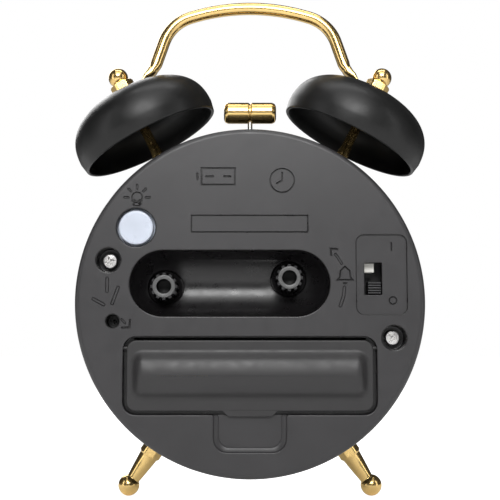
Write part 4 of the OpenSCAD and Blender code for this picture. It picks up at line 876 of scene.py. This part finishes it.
class CLOCK_OT_screws(bpy.types.Operator):
    """Cross-head screws in the cover's wells"""

    bl_idname = "clock.screws"
    bl_label = "Cover screws"

    def execute(self, context):
        parts = []
        shank = [1.88, 1.96, 2, 2, 1.5, 1.5, 0]
        radius = np.concatenate([np.linspace(0, 1.2, 26), np.linspace(1.25, 1.75, 6), shank])
        angle = np.linspace(0, 2 * np.pi, 144, endpoint=False)
        x, z = radius[:, None] * np.cos(angle), radius[:, None] * np.sin(angle)
        top = 1.53 - 0.13 * (radius / 2) ** 2
        top[32:] = [1.28, 1.15, 1.0, 0, 0, -6, -6]
        arm = np.minimum(np.abs(x), np.abs(z))
        reach = np.maximum(np.abs(x), np.abs(z))
        cross = np.clip((0.38 - arm - 0.12 * reach) / 0.08, 0, 1) * np.clip((1.2 - reach) / 0.12, 0, 1)
        core = np.clip((0.5 - np.hypot(x, z)) / 0.2, 0, 1)
        on_top = (np.arange(len(radius)) < 31)[:, None]
        height = top[:, None] - np.maximum(cross * 0.8, core * 0.95) * on_top
        for at, turn in zip(SCREWS_AT, (0.35, 0.9)):
            place = along_y(*at, BACK_Y - SCREW_DEPTH + 0.02 * MM) @ Matrix.Rotation(turn, 4, "Z")
            parts.append(ringed(radius[:, None] * MM + 0 * x, height * MM, place))
        add_piece("screw_heads", parts, ["steel"], "case", "cover_screws")
        return {"FINISHED"}


# ---- bells, posts, nuts and handle -----------------------------------------


class ClockTrim(bpy.types.PropertyGroup):
    """Sizes of the bells, handle, nuts, feet, hammer, knobs and button"""

    bell_r: length("Bell radius", "Largest radius of a bell", 20.7)
    bell_h: length("Bell height", "Height of a bell from rim to crown", 16.2)
    bell_t: length("Bell thickness", "Thickness of a bell's wall", 0.9)
    wire: length("Handle wire", "Diameter of the handle's wire", 3.5)
    nut_ball: length("Nut ball", "Radius of the ball on a bell's nut", 2.8)
    hammer: length("Hammer", "Diameter of the hammer", 6)
    foot_ball: length("Foot ball", "Radius of the ball of a foot", 3)
    button_r: length("Button radius", "Radius of the press button", 4.5)
    knob_teeth: IntProperty(name="Knob teeth", description="Number of teeth round a knob", default=12)


BELL_BASE, BELL_TILT, BELL_STAND = (24.13 * MM, 0.0, 92.26 * MM), 27.3, 8.7 * MM
BELL_POWER, BELL_BAND = 2.5, 3 * MM
# ball nut: height above its seat and radius limit of each row, and how far its ball stands above the crown
NUT_ROWS = [(0, 1.3), (0, 3.0), (0.22, 3.45), (2.2, 3.45), (2.4, 3.25), (2.55, 2.95), (2.6, 2.7),
            (2.68, 2.35)]
NUT_RISE = 5.05
# handle: its end of a leg measured along and up from a bell's crown, and its height above the crowns
LEG_END, HANDLE_RISE = (8.58 * MM, 0.86 * MM), 25 * MM
# radii of the arch, shoulder and flare, the flare's distance back along the leg, and two angles in degrees
HANDLE_ARCS, LEG_LEAN, FLARE_TURN = (57 * MM, 11.5 * MM, 8 * MM, 4.2 * MM), 71, 34
# feet: distance of their seat from the case's axis, and degrees from straight down
FOOT_SEAT, FOOT_ANGLE = 45.4 * MM, 34.1


def on_post(side):
    """Place whose local Z runs up a bell's post from the case."""
    x, y, z = BELL_BASE
    return Matrix.Translation((side * x, y, z)) @ Matrix.Rotation(side * math.radians(BELL_TILT), 4, "Y")


def bell_profile(radius, height):
    """Superellipse from the crown down to the widest point."""
    angle = np.linspace(0.03, np.pi / 2, 40)
    power = 2 / BELL_POWER
    return np.stack([radius * np.sin(angle) ** power, height * np.cos(angle) ** power], 1)


def hexagonal(rows, across):
    """Radius (rows, columns) and height of a nut.

    Each row is [height, radius limit]: the radius is the hexagon's, cut off at the limit, which makes the
    round chamfer at both ends of a turned nut.
    """
    rows = np.asarray(rows, float)
    angle = np.linspace(0, 2 * np.pi, 96, endpoint=False)
    flat = across / 2 / np.cos(angle % (np.pi / 3) - np.pi / 6)
    return np.minimum(flat, rows[:, 1:]), rows[:, :1]


def ball(radius, centre, neck, count=24):
    """Profile of a ball above a neck of a smaller radius."""
    start = math.asin(min(1, neck / radius))
    angle = np.linspace(np.pi - start, 0, count)
    return np.stack([radius * np.sin(angle), centre + radius * np.cos(angle)], 1)


def hexagon_parts(rows, across, end, place, flats):
    """Hexagon bar that goes over into a turned end: its first rows are flat, the others smooth."""
    radius, level = hexagonal(rows, across)
    columns = radius.shape[1]
    radius = np.concatenate([radius, np.repeat(end[:, :1], columns, 1)])
    points, faces, _, _ = ringed(radius * MM, np.concatenate([level, end[:, 1:]]) * MM, place)
    flat = faces[:, 0] // columns < flats
    return [(points, faces[flat], False, 0), (points, faces[~flat], True, 0)]


class CLOCK_OT_bells(bpy.types.Operator):
    """Two thin bells with rolled rims"""

    bl_idname = "clock.bells"
    bl_label = "Bells"

    def execute(self, context):
        trim = context.scene.clock_trim
        band, wall = BELL_BAND, trim.bell_t
        outer = bell_profile(trim.bell_r, trim.bell_h - band)
        inner = bell_profile(trim.bell_r - wall, trim.bell_h - band - wall)
        rim_out, rim_in = trim.bell_r - 0.5 * MM, trim.bell_r - 0.5 * MM - wall
        angle = np.linspace(0, np.pi, 9)
        bead = np.stack([(rim_out + rim_in) / 2 + wall / 2 * np.cos(angle),
                         wall / 2 - band - wall / 2 * np.sin(angle)], 1)
        hole = 1.25 * MM
        profile = np.concatenate([[[hole, outer[0, 1]]], outer, bead, inner[::-1], [[hole, inner[0, 1]]],
                                  [[hole, outer[0, 1]]]])
        profile[:, 1] += BELL_STAND + band
        for side, node in ((1, "bell_right"), (-1, "bell_left")):
            part = turned(profile, 192, on_post(side))
            add_piece(node + "_shell", [part], ["black_enamel"], "case", node)
        return {"FINISHED"}


class CLOCK_OT_posts(bpy.types.Operator):
    """Posts under the bells and the ball nuts above them"""

    bl_idname = "clock.posts"
    bl_label = "Posts and ball nuts"

    def execute(self, context):
        trim = context.scene.clock_trim
        crown = (BELL_STAND + trim.bell_h) / MM
        seat = crown - trim.bell_t / MM - 0.05
        post = rounded([[0, -5], [1.2, -5], [1.2, 0.25], [2.05, 0.25], [2.05, 1], [1.4, 8], [1.4, seat - 2],
                        [2.4, seat - 0.8], [2.4, seat], [1.2, seat], [1.2, crown + 3.1], [0, crown + 3.1]],
                       [0.1, 0, 0.1, 0.5, 2, 1, 0.2, 0.1, 0, 0.1], 5) * MM
        base = crown + 0.7
        rows = [[base + rise, limit] for rise, limit in NUT_ROWS]
        end = ball(trim.nut_ball / MM, crown + NUT_RISE, 2.2, 28)
        posts, nuts = [], []
        for side in (1, -1):
            posts.append(turned(post, 64, on_post(side)))
            nuts += hexagon_parts(rows, 6.2, end, on_post(side), 6)
        add_piece("post_turnings", posts, ["brass"], "case", "bell_posts")
        add_piece("ball_nuts", nuts, ["brass"], "case", "acorn_nuts")
        return {"FINISHED"}


class CLOCK_OT_handle(bpy.types.Operator):
    """Wire handle with flattened ends under the ball nuts"""

    bl_idname = "clock.handle"
    bl_label = "Handle"

    def execute(self, context):
        trim = context.scene.clock_trim
        stations = self.stations(trim)
        mirrored = stations[::-1] * (-1, 1, -1, 1, 1)
        rows = np.concatenate([mirrored, stations[1:]])
        angle = np.linspace(0, 2 * np.pi, 28, endpoint=False)
        power = np.where(rows[:, 4] > rows[:, 3] * 1.5, 0.6, 1.0)[:, None]
        cosine = np.sign(np.cos(angle)) * np.abs(np.cos(angle)) ** power
        sine = np.sign(np.sin(angle)) * np.abs(np.sin(angle)) ** power
        thick, wide = rows[:, 3:4] * cosine, rows[:, 4:5] * sine
        lean = rows[:, 2:3]
        grid = np.stack([rows[:, :1] + thick * np.sin(lean), wide,
                         rows[:, 1:2] + thick * np.cos(lean) + CASE_Z], -1)
        ends = [np.repeat(ring.mean(0)[None, None], len(angle), 1) for ring in (grid[0], grid[-1])]
        parts = [sheet(np.concatenate([ends[0], grid, ends[1]]))]
        crown = (BELL_STAND + trim.bell_h) / MM
        eye = rounded([[1.25, 0.05], [3.1, 0.05], [3.1, 0.63], [1.25, 0.63]], [0.12, 0.2], 4)
        eye = np.concatenate([eye, eye[:1]]) + (0, crown)
        parts += [turned(eye * MM, 72, on_post(side)) for side in (1, -1)]
        add_piece("handle_wire", parts, ["brass"], "case", "handle")
        return {"FINISHED"}

    def stations(self, trim):
        """One half of the handle, as rows of [x, z, lean, half thickness, half width].

        The wire follows a wide arch, a tight shoulder, a straight leg and an outward flare, then lies along
        the bell's crown as a strap.
        """
        half, gap, strap = trim.wire / 2, 0.05 * MM, 0.6 * MM
        tilt, leg, turn = math.radians(BELL_TILT), math.radians(LEG_LEAN), math.radians(FLARE_TURN)
        arch, shoulder, flare, back = HANDLE_ARCS
        crown = BELL_STAND + trim.bell_h
        post = np.array([BELL_BASE[0], BELL_BASE[2] - CASE_Z])
        along, up = np.array([math.cos(tilt), -math.sin(tilt)]), np.array([math.sin(tilt), math.cos(tilt)])
        crown_at = post + crown * up
        point = crown_at - LEG_END[0] * along + LEG_END[1] * up
        top = crown_at[1] + HANDLE_RISE
        normal = np.array([math.sin(leg), math.cos(leg)])
        reach = (normal @ point - shoulder - normal[1] * (top - arch)) / (arch - shoulder)
        start = leg - math.acos(reach)
        middle_of_arch = np.array([0, top - arch])
        shoulder_at = middle_of_arch + (arch - shoulder) * np.array([math.sin(start), math.cos(start)])
        flare_at = point - back * np.array([math.cos(leg), -math.sin(leg)]) + flare * normal

        rows = []
        for centre, radius, first, last, count, skip in ((middle_of_arch, arch, 0, start, 28, 0),
                                                         (shoulder_at, shoulder, start, leg, 20, 1),
                                                         (flare_at, -flare, leg, leg - turn, 14, 0)):
            lean = np.linspace(first, last, count)
            points = centre + radius * np.stack([np.sin(lean), np.cos(lean)], 1)
            flat = np.linspace(0, 6, count) if radius < 0 else np.zeros(count)
            row = np.column_stack([points, lean, half - 0.14 * MM * flat, half + 0.12 * MM * flat])
            rows.append(row[skip:])
        x = np.linspace(-4.9, -2.2, 7) * MM

        def rise(x):
            """Height of the bell's outside above the post's foot, at a distance from its axis."""
            height = trim.bell_h - BELL_BAND
            share = 1 - (np.abs(x) / trim.bell_r) ** BELL_POWER
            return BELL_STAND + BELL_BAND + height * share ** (1 / BELL_POWER)

        slope = np.arctan2(rise(x + 0.05 * MM) - rise(x - 0.05 * MM), 0.1 * MM)
        points = post + x[:, None] * along + (rise(x) + gap / 2 + strap / 2)[:, None] * up
        flat = np.tile((strap / 2 - gap / 2, 2.6 * MM), (7, 1))
        rows.append(np.column_stack([points, tilt - slope, flat]))
        return np.concatenate(rows)


class CLOCK_OT_hammer(bpy.types.Operator):
    """Barrel of the hammer, grooved in the middle"""

    bl_idname = "clock.hammer"
    bl_label = "Hammer"

    def execute(self, context):
        low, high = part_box("hammer_head")
        half, r = (high.x - low.x) / 2 / MM, context.scene.clock_trim.hammer / 2 / MM
        end = rounded([[0, 0.12], [r - 1.2, 0], [r - 0.35, 0.35], [r, 1.2], [r, half - 0.55],
                       [r - 0.1, half - 0.32], [r - 0.32, half - 0.15], [r - 0.32, half]],
                      [1, 0.6, 0.6, 0.25, 0.2, 0.1], 5)
        profile = np.concatenate([end, (end * (1, -1) + (0, 2 * half))[::-1][1:]])
        centre = middle("hammer_head")
        place = Matrix.Translation(centre) @ Matrix.Rotation(math.pi / 2, 4, "Y")
        part = turned((profile - (0, half)) * MM, 96, place)
        add_piece("hammer_barrel", [part], ["brass"], "hammer", "hammer_head")
        return {"FINISHED"}


class CLOCK_OT_feet(bpy.types.Operator):
    """Two feet: hexagon bar, cone and ball"""

    bl_idname = "clock.feet"
    bl_label = "Feet"

    def execute(self, context):
        ball_r = context.scene.clock_trim.foot_ball / MM
        low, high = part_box("foot_right")
        y, angle = (low.y + high.y) / 2, math.radians(FOOT_ANGLE)
        length = (CASE_Z / MM - ball_r) / math.cos(angle) - FOOT_SEAT / MM
        rows = [[-5, 0], [-5, 1.15], [0.25, 1.15], [0.25, 2.75], [0.45, 3.1], [length - 10.4, 3.1],
                [length - 10.1, 2.85], [length - 9.9, 2.7]]
        cone = [[2.68, length - 9.85], [2.4, length - 7], [2.06, length - 4], [1.88, length - 2.6]]
        end = np.concatenate([cone, ball(ball_r, length, 1.88)])
        for side, node in ((1, "foot_right"), (-1, "foot_left")):
            seat = (side * FOOT_SEAT * math.sin(angle), y, CASE_Z - FOOT_SEAT * math.cos(angle))
            place = Matrix.Translation(seat) @ Matrix.Rotation(math.pi - side * angle, 4, "Y")
            parts = hexagon_parts(rows, 5.7, end, place, 7)
            add_piece(node + "_turning", parts, ["brass"], "case", node)
        return {"FINISHED"}


# ---- dial print ------------------------------------------------------------


# inner radius, outer radius and half width of a mark, and the radii of the rings, in millimetres
HOUR_MARK, MINUTE_MARK = (35.2, 38.4, 0.55), (36.9, 38.4, 0.16)
PRINT_RINGS = ((38.4, 38.65), (40.2, 40.5))
NUMERAL, NUMERAL_R, PRINT_T = 8.2 * MM, 29.6 * MM, 0.01 * MM


class CLOCK_OT_front(bpy.types.Operator):
    """Print of the dial: minute marks, two rings and numerals, a hair above the card"""

    bl_idname = "clock.front"
    bl_label = "Dial print"

    def execute(self, context):
        y = DIAL_Y - PRINT_T
        corners = []
        for minute in range(60):
            a = math.radians(6 * minute)
            hour = minute % 5 == 0
            inner, outer, half = HOUR_MARK if hour else MINUTE_MARK
            out, side = np.array([math.sin(a), math.cos(a)]), np.array([math.cos(a), -math.sin(a)])
            for r, w in ((inner, -half), (outer, -half), (outer, half), (inner, half)):
                p = (out * r + side * w) * MM
                corners.append((p[0], y, CASE_Z + p[1]))
        faces = np.arange(len(corners)).reshape(-1, 4)
        parts = [(np.array(corners), faces, False, 0)]
        for radii in PRINT_RINGS:
            ring = np.array([circle(r, count=240) * MM for r in radii])
            ring = np.stack([ring[..., 0], np.full(ring.shape[:2], y), ring[..., 1] + CASE_Z], -1)
            parts.append(sheet(ring, smooth=False))
        for number in range(1, 13):
            parts.append(self.numeral(str(number), math.radians(30 * number), y))
        add_piece("dial_print", parts, ["print_black"], "case", facing=(0, -1, 0))
        return {"FINISHED"}

    def numeral(self, words, angle, y):
        """One number as flat mesh, upright on the dial."""
        curve = bpy.data.curves.new("numeral", "FONT")
        curve.body, curve.size, curve.resolution_u = words, NUMERAL, 4
        curve.align_x = curve.align_y = "CENTER"
        text = bpy.data.objects.new("numeral", curve)
        mesh = text.to_mesh()
        points = np.zeros(len(mesh.vertices) * 3)
        mesh.vertices.foreach_get("co", points)
        points = points.reshape(-1, 3)
        mesh.calc_loop_triangles()
        faces = np.array([list(t.vertices) for t in mesh.loop_triangles])
        text.to_mesh_clear()
        bpy.data.objects.remove(text)
        bpy.data.curves.remove(curve)
        points -= (points.max(0) + points.min(0)) / 2
        x, z = points[:, 0] + NUMERAL_R * math.sin(angle), points[:, 1] + NUMERAL_R * math.cos(angle)
        return np.stack([x, np.full(len(points), y), z + CASE_Z], 1), faces, False, 0


class CLOCK_OT_finishes(bpy.types.Operator):
    """Materials of every CAD node that stays on show"""

    bl_idname = "clock.finishes"
    bl_label = "Finishes"

    def execute(self, context):
        make_finishes(context.scene.clock_tones)
        for part in frame["record"]["subparts"]:
            node = frame["nodes"][part["node"]]
            node.data.materials.clear()
            node.data.materials.append(FINISHES[part["material_slot"]])
        return {"FINISHED"}


class ClockTones(bpy.types.PropertyGroup):
    """Colours of the finishes and the power of the key light"""

    cover: tone("Cover", "Colour of the cover's moulded face", (0.024, 0.023, 0.0245))
    # Darker than the cover's colour: painted shade in the recesses, wells and engraved marks.
    recess: tone("Recesses", "Colour of the smooth recess walls", (0.006, 0.0055, 0.006))
    door: tone("Door", "Colour of the battery door", (0.018, 0.0172, 0.018))
    enamel: tone("Enamel", "Colour of the bells and the drum", (0.005, 0.005, 0.005))
    brass: tone("Brass", "Colour of the brass pieces", (0.8, 0.56, 0.22))
    button: tone("Button", "Colour of the press button", (0.5, 0.54, 0.62))
    dial: tone("Dial", "Colour of the dial card", (0.82, 0.81, 0.77))
    key: FloatProperty(name="Key light", description="Power of the main lamp", default=2.4, unit="POWER")


# ---- stage -----------------------------------------------------------------


# name, place, height of the point it faces, size, and its share of the key light's power
LAMPS = [
    ("key_lamp", (0.02, 0.62, 0.42), 0.06, (0.36, 0.22), 1.5),
    ("left_strip", (0.5, 0.26, 0.16), 0.08, (0.1, 0.6), 0.22),
    ("right_strip", (-0.5, 0.26, 0.16), 0.08, (0.1, 0.6), 0.22),
    ("high_panel", (0, 0.42, 0.62), 0.06, (0.6, 0.4), 0.6),
    ("top_lamp", (0, 0.02, 0.65), 0.06, (0.5, 0.12), 0.4),
    ("front_lamp", (0.25, -0.6, 0.45), 0.06, (0.4, 0.4), 0.8),
]
FLOOR_GLOW, FLOOR_SEEN, SURROUND_GLOW = 0.2, 0.97, 0.06
CAMERA_AT, CAMERA_TILT, LENS = (0, 0.2824, 0.041), 95.71, 72.3


def lamp(name, at, target, size, power):
    """Area light at a place, pointing at another."""
    light = bpy.data.lights.new(name, "AREA")
    light.shape, light.size, light.size_y, light.energy = "RECTANGLE", size[0], size[1], power
    made = bpy.data.objects.new(name, light)
    made.location = at
    made.rotation_euler = (Vector(target) - Vector(at)).to_track_quat("-Z", "Y").to_euler()
    bpy.context.scene.collection.objects.link(made)


class CLOCK_OT_stage(bpy.types.Operator):
    """Pale floor, white surround, soft lamps and the camera"""

    bl_idname = "clock.stage"
    bl_label = "Floor, light and camera"

    def execute(self, context):
        scene = context.scene
        key = scene.clock_tones.key
        paper = Finish("floor_paper", (0.9, 0.9, 0.9), 0.9)
        paper.shader.inputs["Emission Color"].default_value = (1, 1, 1, 1)
        seen = paper.node("ShaderNodeLightPath").outputs["Is Camera Ray"]
        seen = paper.ranged(seen, FLOOR_GLOW, FLOOR_SEEN, 0, 1)
        paper.tree.links.new(seen, paper.shader.inputs["Emission Strength"])
        mesh = bpy.data.meshes.new("floor")
        mesh.from_pydata([(-6, -6, 0), (6, -6, 0), (6, 6, 0), (-6, 6, 0)], [], [(0, 1, 2, 3)])
        mesh.materials.append(paper.material)
        floor = bpy.data.objects.new("floor", mesh)
        scene.collection.objects.link(floor)
        for name, at, height, size, share in LAMPS:
            lamp(name, at, (0, 0, height), size, key * share)
        world = bpy.data.worlds.new("surround")
        scene.world = world
        world.use_nodes = True
        tree = world.node_tree
        tree.nodes.clear()
        path = tree.nodes.new("ShaderNodeLightPath")
        mixed, out = tree.nodes.new("ShaderNodeMixShader"), tree.nodes.new("ShaderNodeOutputWorld")
        tree.links.new(path.outputs["Is Camera Ray"], mixed.inputs[0])
        for socket, strength in ((1, SURROUND_GLOW), (2, 1.0)):
            white = tree.nodes.new("ShaderNodeBackground")
            white.inputs["Color"].default_value = (1, 1, 1, 1)
            white.inputs["Strength"].default_value = strength
            tree.links.new(white.outputs[0], mixed.inputs[socket])
        tree.links.new(mixed.outputs[0], out.inputs["Surface"])
        scene.view_settings.view_transform = "Standard"
        view = bpy.data.cameras.new("camera")
        view.lens, view.sensor_width, view.clip_start = LENS, 36, 0.01
        camera = bpy.data.objects.new("camera", view)
        camera.location, camera.rotation_euler = CAMERA_AT, (math.radians(CAMERA_TILT), 0, math.pi)
        scene.collection.objects.link(camera)
        scene.camera = camera
        return {"FINISHED"}


OPERATORS = [CLOCK_OT_finishes, CLOCK_OT_cover, CLOCK_OT_door, CLOCK_OT_controls, CLOCK_OT_screws,
             CLOCK_OT_bells, CLOCK_OT_posts, CLOCK_OT_handle, CLOCK_OT_hammer, CLOCK_OT_feet, CLOCK_OT_front,
             CLOCK_OT_stage]
GROUPS = {"clock_cover": ClockCover, "clock_trim": ClockTrim, "clock_tones": ClockTones}


class CLOCK_PT_panel(bpy.types.Panel):
    """The clock's sizes, colours and operators"""

    bl_idname = "CLOCK_PT_panel"
    bl_label = "Clock"
    bl_space_type = "VIEW_3D"
    bl_region_type = "UI"
    bl_category = "Clock"

    def draw(self, context):
        for name, group in GROUPS.items():
            box = self.layout.box()
            for key in group.__annotations__:
                box.prop(getattr(context.scene, name), key)
        for operator in OPERATORS:
            self.layout.operator(operator.bl_idname)


def register():
    """Adds the classes and the scene's three groups of properties."""
    for cls in [*GROUPS.values(), *OPERATORS, CLOCK_PT_panel]:
        bpy.utils.register_class(cls)
    for name, group in GROUPS.items():
        setattr(bpy.types.Scene, name, PointerProperty(type=group))


def unregister():
    """Removes what register added."""
    for name in GROUPS:
        delattr(bpy.types.Scene, name)
    for cls in reversed([*GROUPS.values(), *OPERATORS, CLOCK_PT_panel]):
        bpy.utils.unregister_class(cls)


def main():
    """Builds the clock, one operator after another."""
    register()
    for operator in OPERATORS:
        group, name = operator.bl_idname.split(".")
        getattr(getattr(bpy.ops, group), name)()


if __name__ == "__main__":
    main()
